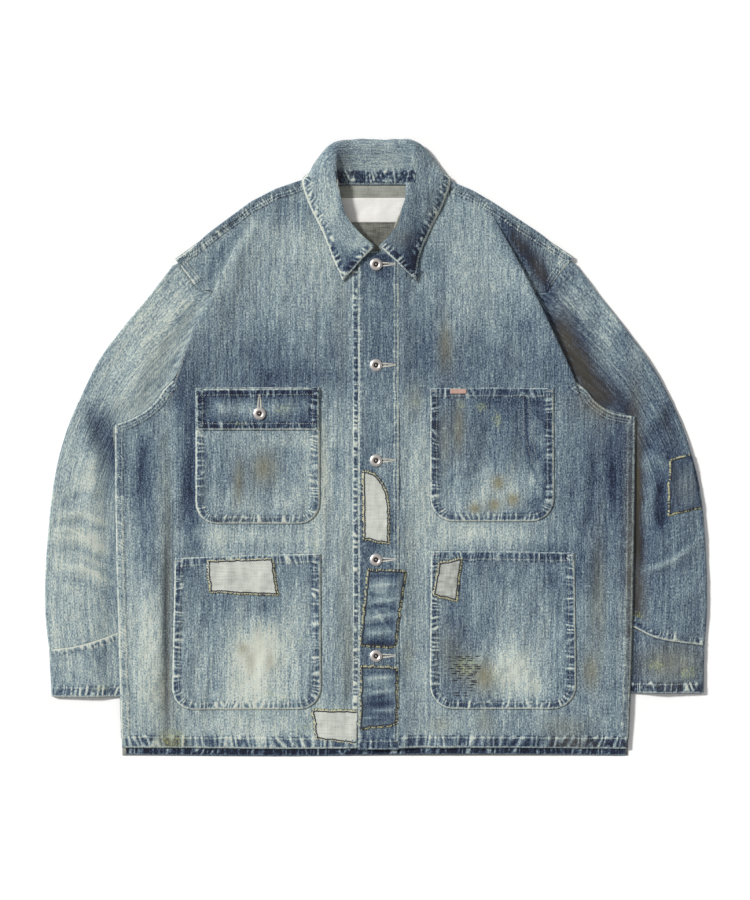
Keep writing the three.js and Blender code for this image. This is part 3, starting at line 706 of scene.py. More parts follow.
@dataclass
class Surface:
    """A net of cloth, [column, row], with what its finish reads."""

    points: Array
    cloth: Array
    tone: Array
    soil: Array
    speck: Array
    closed: bool = False
    keep: Array | None = None

    def quads(self) -> Array:
        """The faces between the net's points.

        Returns:
            Four corners for each face.
        """
        columns, rows = self.points.shape[:2]
        index = np.arange(columns * rows).reshape(columns, rows)
        if self.closed:
            index = np.vstack([index, index[:1]])
        faces = np.stack([index[:-1, :-1], index[1:, :-1], index[1:, 1:], index[:-1, 1:]], -1)
        return faces[self.keep] if self.keep is not None else faces.reshape(-1, 4)

    def normals(self) -> Array:
        """The way out of the visible side.

        Returns:
            A step of length 1 at each point.
        """
        p = self.points
        if self.closed:
            across = np.roll(p, -1, 0) - np.roll(p, 1, 0)
        else:
            across = np.gradient(p, axis=0)
        out = np.cross(across, np.gradient(p, axis=1))
        out /= np.maximum(np.linalg.norm(out, axis=2, keepdims=True), 1e-9)
        if self.closed:
            side = np.mean(np.sum((p - p.mean(0, keepdims=True)) * out, 2))
        else:
            side = np.mean(out[..., 2])
        return out if side > 0 else -out

    def numbers(self) -> dict[str, Array]:
        """The numbers that the finish reads."""
        return {"tone": self.tone, "soil": self.soil, "speck": self.speck}

    def shell(self, name: str, thickness: float, outer: Finish, inner: Finish) -> bpy.types.Object:
        """Makes a closed shell of cloth below the net.

        Args:
            name: The object's name.
            thickness: The cloth's thickness.
            outer: The finish of the net's own side.
            inner: The finish of the other side.

        Returns:
            The object.
        """
        under = self.points - self.normals() * thickness
        under[..., 2] = np.maximum(under[..., 2], FLOOR_GAP)
        points = np.concatenate([self.points.reshape(-1, 3), under.reshape(-1, 3)])
        quads = self.quads()
        size = self.points.shape[0] * self.points.shape[1]
        sides = np.concatenate([quads[:, [k, (k + 1) % 4]] for k in range(4)])
        keys = sides[:, 0] * (size + 1) + sides[:, 1]
        twins = sides[:, 1] * (size + 1) + sides[:, 0]
        rim = sides[~np.isin(keys, twins)]
        walls = np.stack([rim[:, 1], rim[:, 0], rim[:, 0] + size, rim[:, 1] + size], 1)
        faces = np.concatenate([quads, quads[:, ::-1] + size, walls])
        corner = points[faces]
        volume = np.sum(np.cross(corner[:, 0], corner[:, 1]) * corner[:, 2]) + np.sum(
            np.cross(corner[:, 0], corner[:, 2]) * corner[:, 3])
        if volume < 0:
            faces = faces[:, ::-1]
        which = np.concatenate([np.zeros(len(quads)), np.ones(len(quads)), np.zeros(len(walls))])
        used = np.unique(faces)
        place = np.zeros(len(points), int)
        place[used] = np.arange(len(used))
        cloth = np.tile(self.cloth.reshape(-1, 2), (2, 1))[used]
        numbers = {key: np.tile(values.ravel(), 2)[used] for key, values in self.numbers().items()}
        return make_mesh(name, points[used], place[faces], (outer, inner), numbers, cloth, which)


class Ground:
    """What lies below: it gives the height of the topmost cloth at any place."""

    LOOK_FROM = 90.0
    NEAR_HEIGHT = 8.0

    def __init__(self, *surfaces: Surface) -> None:
        """Gathers the nets that things are laid on.

        Args:
            surfaces: The nets.
        """
        points, faces, start = [], [], 0
        for surface in surfaces:
            points.append(surface.points.reshape(-1, 3))
            faces.append(surface.quads() + start)
            start += len(points[-1])
        self.tree = BVHTree.FromPolygons(np.concatenate(points).tolist(), np.concatenate(faces).tolist())

    def height(self, x: Array, y: Array) -> Array:
        """The height at places, or that of the nearest cloth where none is below.

        Args:
            x: The places' x, in an array of any shape.
            y: Their y.

        Returns:
            The heights.
        """
        flat = np.stack([np.ravel(x), np.ravel(y)], 1)
        out = np.empty(len(flat))
        down = Vector((0, 0, -1))
        for k, (px, py) in enumerate(flat.tolist()):
            hit = self.tree.ray_cast((px, py, self.LOOK_FROM), down)[0]
            if hit is None:
                hit = self.tree.find_nearest((px, py, self.NEAR_HEIGHT))[0]
            out[k] = hit.z
        return out.reshape(np.shape(x))

    def height_at(self, x: float, y: float) -> float:
        """The height at one place."""
        return float(self.height(np.array([float(x)]), np.array([float(y)]))[0])


def finished(
    points: Array, wear: Wear, cloth: Array | None = None, closed: bool = False, keep: Array | None = None,
) -> Surface:
    """A net with its wear.

    Args:
        points: The net's points.
        wear: What its cloth went through.
        cloth: Places on the cut cloth, or None where they are those of the plan.
        closed: Whether the last column joins the first.
        keep: Which cells have a face.

    Returns:
        The surface.
    """
    x, y = points[..., 0], points[..., 1]
    plan = points[..., :2].copy() if cloth is None else cloth
    return Surface(points, plan, wear.tone_at(x, y), wear.soil_at(x, y), wear.specks_at(x, y), closed, keep)


# Sewn edges and stitches


@dataclass(frozen=True)
class Seam:
    """How a sewn edge or strip looks, measured across from its outer side.

    Attributes:
        width: How wide the doubled cloth is.
        height: How far it stands up.
        period: The length from one pucker to the next.
        ripple: How high the puckers are.
        base: How much darker it is than the cloth.
        rung: How much paler the worn puckers are.
        edge: How much paler the outer edge is.
        slant: How far the puckers lean.
        rows: Where the rows of stitches run.
        tail: How far the puckers reach past the strip.
        drop: How far its outer side reaches down.
        sharp: How narrow the puckers are.
        glow: How much paler the cloth is beside the stitches.
        mottle: How blotchy it is.
        shade: How much painted shadow darkens the gap at its outer side.
        vary: How uneven the puckers are.
    """

    width: float
    height: float = 0.9
    period: float = 7.0
    ripple: float = 0.4
    base: float = -0.18
    rung: float = 0.5
    edge: float = 0.35
    slant: float = 0.0
    rows: tuple[float, ...] = ()
    tail: float = 4.0
    drop: float = 1.3
    sharp: float = 2.0
    glow: float = 0.12
    mottle: float = 0.24
    shade: float = 0.34
    vary: float = 1.0


class Sewing:
    """Collects the strips and stitches that belong to one piece of cloth."""

    STEP = 1.35
    OUTSIDE = (-0.95, -0.3, 0.12)
    TAIL_SHARES = (0.2, 0.45, 0.7, 1.0)
    ROW_WIDTH = 0.8
    ROW_DEPTH = 0.22
    STITCH_LIFT = 0.02
    ZIGZAG_STEP = 1.45
    BRIGHT_SHARE = 0.62
    BRIGHT_SIZE, DULL_SIZE = 0.95, 0.75
    DARK_REACH = (-0.8, 1.3)

    def __init__(self, name: str, wear: Wear, *carriers: Surface) -> None:
        """Starts with the cloth that carries them.

        Args:
            name: The name of the piece of cloth.
            wear: The wear of that cloth.
            carriers: The surfaces that lie below.
        """
        self.name, self.wear = name, wear
        self.carriers = list(carriers)
        self.ground = Ground(*carriers)
        self.strips: list[Surface] = []
        self.threads: dict[Finish, list[tuple[Array, Array, float]]] = {}
        self.seed = name_seed(name)

    def strip(self, path: Sequence[Point], seam: Seam, inwards: float = 1.0) -> None:
        """Lays a puckered strip along a path, with its rows of stitches.

        Args:
            path: The strip's outer side.
            seam: How it looks.
            inwards: 1 where the strip lies to the left of the path, and -1 where it lies to the right.
        """
        self.seed += 7
        line = resampled(path, self.STEP)
        run = along(line)
        normal = left_of(line, soften=True) * inwards
        inner = np.linspace(0.5, seam.width, max(4, int(seam.width / 0.95)))
        across = np.concatenate([self.OUTSIDE, inner, seam.width + seam.tail * np.array(self.TAIL_SHARES)])
        s, t = run[:, None], across[None, :]
        uneven, gauge = Drift(self.seed, 31), Drift(self.seed + 1, 13)
        wander = 0.35 * uneven.at(s) * smooth(0.5, 3, t)
        place = line[:, None] + normal[:, None] * (t + wander)[..., None]
        x, y = place[..., 0], place[..., 1]
        lean = seam.slant + 0.25 * uneven.at(s * 0.8 + 11)
        phase = s / seam.period + lean * t / seam.period + 0.34 * uneven.at(s) + 0.2 * gauge.at(s)
        pulse = (0.5 + 0.5 * np.cos(math.tau * phase)) ** seam.sharp
        mottle = Drift(self.seed + 2, 4.2, 22).at(x, y)
        strength = 0.4 * gauge.at(s * 1.7 + 40) + 0.3 * uneven.at(s * 1.3) + seam.mottle * mottle
        strength = np.clip(0.9 + seam.vary * strength, 0.0, 1.7)
        zone = smooth(0.6, 2.4, t) * (1 - smooth(seam.width, seam.width + seam.tail, t))
        rise = smooth(-0.2, 1.2, t) * (1 - smooth(seam.width - 0.8, seam.width + 0.5 * seam.tail, t))
        lifted = 0.06 + seam.height * rise + seam.ripple * (pulse * strength - 0.35) * zone
        beside = sum((np.exp(-(((t - row) / self.ROW_WIDTH) ** 2)) for row in seam.rows), np.zeros(t.shape))
        lifted = lifted - self.ROW_DEPTH * beside
        z = self.ground.height(x, y)
        outer = np.repeat(z[:, 3:4], 3, axis=1)
        z[:, :3] = outer - seam.drop * np.array([0.98, 0.5, 0.05])
        z = np.maximum(z + np.where(t < 0.3, 0.4, 1.0) * lifted, FLOOR_GAP + 0.01)
        tone = self.wear.tone_at(x, y) + zone * (seam.base + seam.rung * pulse * strength + 0.2 * seam.mottle * mottle)
        worn = np.clip(0.95 + 0.25 * gauge.at(s * 2.1 + 9), 0.3, 1.4)
        tone = tone + seam.edge * worn * np.exp(-(((t - 0.5) / 0.9) ** 2))
        # Painted shadow in the gap along the strip's outer side.
        tone = tone - seam.shade * np.exp(-(((t + 0.95) / 0.6) ** 2))
        tone = tone + seam.glow * worn * beside
        points = np.concatenate([place, z[..., None]], -1)
        surface = Surface(points, place, tone, self.wear.soil_at(x, y), self.wear.specks_at(x, y))
        self.strips.append(surface)
        if seam.rows:
            above = Ground(surface)
            for row in seam.rows:
                self.row(line + normal * row, Finish.PALE_THREAD, above)

    def row(
        self, line: Array, thread: Finish, above: Ground | None = None, pitch: float = 3.1, share: float = 0.76,
        size: float = 0.46,
    ) -> None:
        """Sews a row of stitches along a line.

        Args:
            line: The line.
            thread: The thread.
            above: The surface that the stitches lie on, or None for the carriers.
            pitch: The length from one stitch to the next.
            share: How much of the pitch a stitch covers.
            size: Half the thread's width.
        """
        rng = np.random.default_rng(self.seed + len(self.threads.get(thread, [])))
        total = along(line)[-1]
        starts = np.arange(0.4, max(0.5, total - pitch), pitch)
        starts = starts + rng.normal(0, 0.12, len(starts))
        a = spaced(line, np.clip(starts / total, 0, 1))
        b = spaced(line, np.clip((starts + pitch * share) / total, 0, 1))
        self.stitches(a, b, thread, above, size)

    def stitches(self, a: Array, b: Array, thread: Finish, above: Ground | None, size: float) -> None:
        """Adds single stitches between places.

        Args:
            a: Where each starts, in the plan.
            b: Where each ends.
            thread: The thread.
            above: The surface that they lie on, or None for the carriers.
            size: Half the thread's width.
        """
        ground = above or self.ground
        ends = [np.column_stack([p, ground.height(p[:, 0], p[:, 1]) + self.STITCH_LIFT]) for p in (a, b)]
        self.threads.setdefault(thread, []).append((ends[0], ends[1], size))

    def zigzag(self, path: Sequence[Point], width: float, above: Ground, dark_side: float) -> None:
        """Sews a two-coloured zigzag to the left of a patch's edge.

        Args:
            path: The edge.
            width: How far the zigzag reaches to each side of it.
            above: The surface that it lies on.
            dark_side: How far in the dark row lies.
        """
        self.seed += 3
        rng = np.random.default_rng(self.seed)
        line = resampled(path, self.ZIGZAG_STEP)
        normal = left_of(line)
        jitter = rng.normal(0, 0.3, (len(line), 1))
        outer = line + normal * (jitter - width)
        inner = line + normal * (jitter + width)
        bright = rng.uniform(0, 1, len(line) - 1) < self.BRIGHT_SHARE
        self.stitches(outer[:-1][bright], inner[1:][bright], Finish.YELLOW_THREAD, above, self.BRIGHT_SIZE)
        self.stitches(outer[:-1][~bright], inner[1:][~bright], Finish.DARK_THREAD, above, self.DULL_SIZE)
        first, second = (line + normal * (dark_side + reach + 0.5 * jitter) for reach in self.DARK_REACH)
        for a, b in ((first[:-1:2], second[1::2]), (second[1:-1:2], first[2::2])):
            self.stitches(a, b[:len(a)], Finish.DARK_THREAD, above, self.BRIGHT_SIZE)

    def buttonhole(self, start: Point, end: Point, above: Ground) -> None:
        """Sews a worked buttonhole: whipped lips that close to a bar at the far end.

        Args:
            start: The end by the button.
            end: The far end.
            above: The surface that it lies on.
        """
        a, b = np.array(start, float), np.array(end, float)
        way = (b - a) / np.linalg.norm(b - a)
        side = np.array([-way[1], way[0]])
        reach = np.linalg.norm(b - a)
        for sign in (-1, 1):
            places = np.arange(0, reach, 0.62)
            spread = 1.9 * (1 - (places / reach) ** 1.6) + 0.45
            root = a + way * places[:, None] + side * (sign * spread * 0.25)[:, None]
            tip = root + side * (sign * spread)[:, None] + way * 0.35
            self.stitches(root, tip, Finish.WHITE_THREAD, above, 0.55)
            lip = a + way * places[:, None] + side * (sign * spread * 1.15)[:, None]
            self.stitches(lip[:-1], lip[1:], Finish.WHITE_THREAD, above, 0.6)
        bar = b + side * np.linspace(-1.6, 1.6, 5)[:, None]
        self.stitches(bar - way * 0.7, bar + way * 0.7, Finish.WHITE_THREAD, above, 0.45)

    def make(self) -> list[bpy.types.Object]:
        """Makes the strips as one object and each thread's stitches as another.

        Returns:
            The objects.
        """
        made = [self.joined_strips()] if self.strips else []
        for thread, groups in self.threads.items():
            parts = [stitch_mesh(a, b, size) for a, b, size in groups]
            points = np.concatenate([p for p, _ in parts])
            starts = np.cumsum([0] + [len(p) for p, _ in parts[:-1]])
            faces = np.concatenate([f + start for (_, f), start in zip(parts, starts)])
            tones = np.random.default_rng(self.seed).uniform(0.25, 0.95, len(points) // STITCH_POINTS)
            numbers = {"tone": np.repeat(tones, STITCH_POINTS)}
            made.append(make_mesh(f"{self.name}_{thread.name.lower()}", points, faces, (thread,), numbers))
        return made

    def joined_strips(self) -> bpy.types.Object:
        """Makes all strips as one object.

        Returns:
            The object.
        """
        faces, start = [], 0
        for strip in self.strips:
            quads = strip.quads()
            if quad_turn(strip.points.reshape(-1, 3), quads) < 0:
                quads = quads[:, ::-1]
            faces.append(quads + start)
            start += strip.tone.size
        points = np.concatenate([strip.points.reshape(-1, 3) for strip in self.strips])
        cloth = np.concatenate([strip.cloth.reshape(-1, 2) for strip in self.strips])
        numbers = {
            key: np.concatenate([strip.numbers()[key].ravel() for strip in self.strips])
            for key in ("tone", "soil", "speck")}
        return make_mesh(f"{self.name}_seams", points, np.concatenate(faces), (Finish.DENIM,), numbers, cloth)


def quad_turn(points: Array, quads: Array) -> float:
    """Above 0 where most faces point up."""
    a, b, c = (points[quads[:, k]] for k in range(3))
    return float(np.sum(np.cross(b - a, c - a)[:, 2]))


STITCH_POINTS = 6


def stitch_mesh(a: Array, b: Array, size: float) -> tuple[Array, Array]:
    """Slim pointed stitches between two sets of places.

    Args:
        a: Where each starts.
        b: Where each ends.
        size: Half a stitch's width.

    Returns:
        The points and the faces.
    """
    way = (b - a) / np.maximum(np.linalg.norm(b - a, axis=1, keepdims=True), 1e-6)
    side = np.stack([-way[:, 1], way[:, 0], np.zeros(len(a))], 1)
    middle = (a + b) / 2
    up = np.array([0, 0, 1.0])
    points = np.stack([
        a - way * 0.15 - up * 0.05, b + way * 0.15 - up * 0.05, middle + side * size, middle - side * size,
        middle + up * size * 1.25, middle - up * size * 0.4], 1)
    faces = np.array([[0, 3, 4], [3, 1, 4], [1, 2, 4], [2, 0, 4], [3, 0, 5], [1, 3, 5], [2, 1, 5], [0, 2, 5]])
    index = np.arange(len(a))[:, None, None] * STITCH_POINTS
    return points.reshape(-1, 3), (faces[None] + index).reshape(-1, 3)


# The body


@dataclass(frozen=True)
class Half:
    """One half of the body: its edges, the lip of the armhole's fold and the tucked sleeve."""

    centre_x: float
    side: tuple[Point, ...]
    inset: tuple[Point, ...]
    armhole: tuple[Point, ...]
    lip: tuple[Point, ...]
    rise: tuple[float, ...]
    shoulder: tuple[Point, ...]
    neck: tuple[Point, ...]
    tuck: tuple[Point, ...]
    fold_height: float
    lapped: bool

    def lift(self, x: Array, y: Array, early: float) -> Array:
        """How far the body is lifted by the sleeve tucked under this side.

        Args:
            x: The places' x.
            y: Their y.
            early: How far inside the tucked edge it starts.

        Returns:
            A share from 0 to 1 for each place.
        """
        tuck = np.asarray(self.tuck, float)
        edge = np.abs(np.interp(-np.asarray(y, float), -tuck[:, 1], tuck[:, 0])) - early
        between = smooth(-394, -341, y) * smooth(108, 64, y)
        return between * smooth(0, 1, (np.abs(x) - edge + TUCK_RAMP) / TUCK_RAMP)


RIGHT = Half(
    15,
    ((-331, HEM_FRONT_Y), (-335, -250), (-339, -94), (-340, 29)),
    ((-314, HEM_FRONT_Y), (-318, -250), (-321, -94), (-318, -5)),
    ((-340, 29), (-311, 41), (-287, 60), (-268, 94), (-240, 163), (-227, 193), (-240, 216), (-258, 240)),
    ((-318, -5), (-300, 25), (-277, 53), (-261, 92), (-233, 162), (-215, 197), (-193, 243), (-159, 313)),
    (0, 0, 0, 0.4, 1, 1, 0.8, 0),
    ((-159, 313), (-128, 329), (-96, 340), (-73, 341)),
    ((-73, 341), (-58, 306), (-34, 276), (-4, 255), (15, 254)),
    ((-289, 62), (-292, 40), (-299, 10), (-310, -30), (-316, -107), (-305, -185), (-297, -226), (-291, -324)),
    6.5, False,
)
LEFT = Half(
    -16,
    ((327, HEM_FRONT_Y), (332, -250), (335, -94), (336, 40)),
    ((310, HEM_FRONT_Y), (315, -250), (317, -94), (314, 2)),
    ((336, 40), (306, 46), (282, 62), (264, 94), (236, 153), (220, 190), (232, 216), (252, 243)),
    ((314, 2), (294, 30), (272, 56), (257, 92), (229, 152), (208, 196), (184, 243), (146, 313)),
    (0, 0, 0, 0.5, 1, 1, 0.8, 0),
    ((146, 313), (122, 327), (94, 339), (72, 341)),
    ((72, 341), (57, 306), (33, 276), (3, 255), (-16, 254)),
    ((285, 68), (288, 46), (295, 16), (307, -24), (314, -105), (304, -179), (297, -220), (291, -319)),
    9.5, True,
)


def needed_lift(x: Array, y: Array) -> Array:
    """How far the tucked sleeves hold the back up, at the least."""
    return BACK_LIFT * smooth(0.55, 1, lift(x, y, 0.0))


def lift(x: Array, y: Array, early: float = BACK_EARLY_LIFT) -> Array:
    """How far either side of the body is lifted by its tucked sleeve."""
    return np.where(np.asarray(x) < 0, RIGHT.lift(x, y, early), LEFT.lift(x, y, early))


def front_under(x: Array, y: Array) -> Array:
    """The height of the fronts' underside.

    Args:
        x: The places' x.
        y: Their y.

    Returns:
        The heights.
    """
    lifted = lift(x, y, FRONT_EARLY_LIFT)
    wave = 0.5 + 0.3 * np.sin(x / 41 + 0.6) * np.cos(y / 95) + 0.2 * np.sin(x / 67 - y / 120)
    return FRONT_LEVEL + FRONT_LIFT * lifted + wave * (1 - lifted)


@dataclass
class Front:
    """One front: a net from its edge over the armhole's fold to the centre.

    Attributes:
        half: Its outline.
        wear: Its wear.
        fine: How many rows stand for one of the frame's.
        seed: The seed of its rumples.
    """

    name: str
    half: Half
    wear: Wear
    fine: int = 13
    seed: int = 3
    surface: Surface | None = None
    edge: Array = field(default_factory=lambda: np.zeros((0, 2)))
    seam_heights: Array = field(default_factory=lambda: np.zeros(0))

    SIDE_ROWS = 8
    ARMHOLE_ROWS = 9
    SHOULDER_COLUMNS = 4
    NECK_COLUMNS = 7
    EDGE_SHARES = (0, 0.12, 0.26, 0.42, 0.58, 0.74, 0.88)
    TURN = ((-5.0, 0.0), (-8.0, 0.10), (-8.8, 0.32), (-6.5, 0.52), (-2.5, 0.60), (0.0, 0.76), (-0.6, 0.93), (-3.2, 1.0))
    FOLD_REACH = 75.0

    def net(self) -> Surface:
        """Works out the front's visible side.

        Returns:
            The surface.
        """
        half, m = self.half, self.fine
        rows_side, rows_arm = self.SIDE_ROWS * m, self.ARMHOLE_ROWS * m
        edge = np.vstack([catmull(half.side, rows_side)[:-1], catmull(half.armhole, rows_arm)])
        lip = np.vstack([catmull(half.inset, rows_side)[:-1], catmull(half.lip, rows_arm)])
        arm = np.clip((np.arange(len(edge)) - rows_side) / rows_arm, 0, 1)
        rise = np.interp(arm * (len(half.rise) - 1), np.arange(len(half.rise)), half.rise)
        rise = np.convolve(np.pad(rise, 5, "edge"), np.ones(11) / 11, "valid")
        out = edge - lip
        reach = np.linalg.norm(out, axis=1)
        way = out / reach[:, None]
        hidden = smooth(0.15, 0.5, rise) * (1 - smooth(13, 30, reach))
        reach = lerp(reach, -1.5, hidden)
        self.edge = lip + way * reach[:, None]
        top = np.vstack([
            broken(half.shoulder, self.SHOULDER_COLUMNS * m), broken(half.neck, self.NECK_COLUMNS * m)[1:]])
        bottom = broken((lip[0], (half.centre_x, HEM_FRONT_Y)), len(top) - 1)
        under_arm = half.side[-1][1] - 20
        centre_y = np.concatenate([
            np.linspace(HEM_FRONT_Y, under_arm, rows_side + 1)[:-1],
            np.linspace(under_arm, half.neck[-1][1], rows_arm + 1)])
        centre = np.stack([np.full(len(centre_y), half.centre_x), centre_y], 1)
        crest = lip - way * 3.3
        main = stretched(crest, centre, bottom, top)
        far = np.linalg.norm(main - lip[None], axis=2)
        height = half.fold_height * rise[None] * (1 - smooth(0, self.FOLD_REACH, far))
        roll = np.clip(rise * 1.6, 0, 1)
        fold = [self.fold_line(share, lip, way, rise, roll) for share in np.linspace(0, 1, 12)[:-1]]
        foot = fold[0]
        strip = [np.concatenate([lerp(self.edge, foot[:, :2], s), foot[:, 2:] * s ** 2], 1) for s in self.EDGE_SHARES]
        raised = [np.concatenate([main[k], height[k][:, None]], 1) for k in range(len(main))]
        net = np.array([*strip, *fold, *raised])
        x, y = net[..., 0], net[..., 1]
        beside_band = 1.15 * smooth(27.8, 29.8, x) * (1 - smooth(31, 50, x))
        lap = FRONT_LAP * (1 - smooth(*LAP_RAMP_X, x)) + beside_band if half.lapped else 0.0
        base = front_under(x, y) + DENIM + lap
        inward, _ = distance_to(self.edge, x, y)
        calm = smooth(2, 26, inward)
        z = base + net[..., 2] + self.wear.relief(x, y, self.seed) * calm
        z = np.maximum(z, needed_lift(x, y) + 2 * DENIM + 0.4)
        self.seam_heights = z[0]
        self.surface = finished(np.stack([x, y, z], -1), self.wear, np.stack([x, y], -1))
        return self.surface

    def fold_line(self, share: float, lip: Array, way: Array, rise: Array, roll: Array) -> Array:
        """One line of the fold's turn, from its foot at share 0 to its crest at share 1.

        Args:
            share: How far round the fold.
            lip: The fold's outermost line.
            way: The way out at each row.
            rise: How high the fold stands, from 0 to 1.
            roll: How much of the turn there is, from 0 to 1.

        Returns:
            The plan and the height over the base.
        """
        turn = np.array(self.TURN)
        place = np.array([np.interp(share * 7, np.arange(8), turn[:, axis]) for axis in (0, 1)])
        plain = -0.35 - 2.9 * share
        offset = lerp(plain, place[0], roll)
        height = self.half.fold_height * rise * lerp(smooth(0, 1, share), place[1], roll)
        return np.concatenate([lip + way * offset[:, None], height[:, None]], 1)


@dataclass
class Back:
    """The back: flat below, lifted over the tucked sleeves, turned over the shoulders to the front."""

    wear: Wear
    seed: int = 21

    ROWS = 104
    COLUMNS = (40, 38, 40)
    NECK = ((-73, 347), (-51, 344), (0, 343.5), (46, 344), (72, 347))
    WRAP = 7.5

    def net(self, right: Front, left: Front) -> Surface:
        """Works out the back's inner side.

        Args:
            right: The right front, whose edge it shares.
            left: The left front.

        Returns:
            The surface.
        """
        edges = []
        for front in (right, left):
            line = front.edge.copy()
            drawn = lerp(HEM_BACK_Y, -380, (line[:, 1] - HEM_FRONT_Y) / 11)
            line[:, 1] = np.where(line[:, 1] < -380, drawn, line[:, 1])
            edges.append(spaced(line, np.linspace(0, 1, self.ROWS + 1)))
        seam_right = np.vstack([edges[0][-1:], np.array(RIGHT.shoulder)])
        seam_left = np.vstack([np.array(LEFT.shoulder)[::-1], edges[1][-1:]])
        a = spaced(seam_right, np.linspace(0, 1, self.COLUMNS[0] + 1))
        b = broken(self.NECK, self.COLUMNS[1])
        c = spaced(seam_left, np.linspace(0, 1, self.COLUMNS[2] + 1))
        top = np.vstack([a, b[1:-1], c])
        shoulder = np.zeros(len(top), bool)
        shoulder[:len(a)] = True
        shoulder[-len(c):] = True
        bottom = broken((edges[0][0], edges[1][0]), len(top) - 1)
        plan = stretched(edges[0], edges[1], bottom, top)
        x, y = plan[..., 0], plan[..., 1]
        inward = np.minimum(*(distance_to(edge, x, y)[0] for edge in edges))
        ripple = 0.25 * np.abs(self.wear.relief(x, y, self.seed)) * smooth(4, 30, inward)
        z = BACK_LIFT * lift(x, y) + DENIM + ripple
        above = np.minimum(*(
            Ground(front.surface).height(x, y) + 50 * (np.sign(x) == side) for front, side in ((right, 1), (left, -1))))
        z = np.where(y < 240, np.clip(above - DENIM - 0.25, needed_lift(x, y) + DENIM, z), z)
        way = left_of(top)
        turns = np.linspace(-math.pi / 2, math.pi / 2, 9)
        high = FRONT_LEVEL + DENIM + 0.9
        middle, radius = (DENIM * 0.6 + high) / 2, (high - DENIM * 0.6) / 2
        taper = np.ones(len(top))
        taper[:len(a)] = 0.25 + 0.75 * smooth(0, 0.3, np.linspace(0, 1, len(a)))
        taper[-len(c):] = taper[:len(a)][::-1]
        way *= taper[:, None]
        wrap = []
        for turn in turns:
            out = self.WRAP - radius * 0.55 + radius * 0.55 * math.cos(turn)
            wrap.append(np.concatenate([top + way * out, np.full((len(top), 1), middle + radius * math.sin(turn))], 1))
        wrap.append(np.concatenate([top + way * 0.3, np.full((len(top), 1), high - 0.4)], 1))
        net = np.concatenate([np.concatenate([plan, z[..., None]], -1), np.stack(wrap, 1)], 1)
        keep = np.ones((net.shape[0] - 1, net.shape[1] - 1), bool)
        both = shoulder[:-1] & shoulder[1:]
        keep[~both, self.ROWS:] = False
        return finished(net, self.wear, keep=keep)


# Sleeves


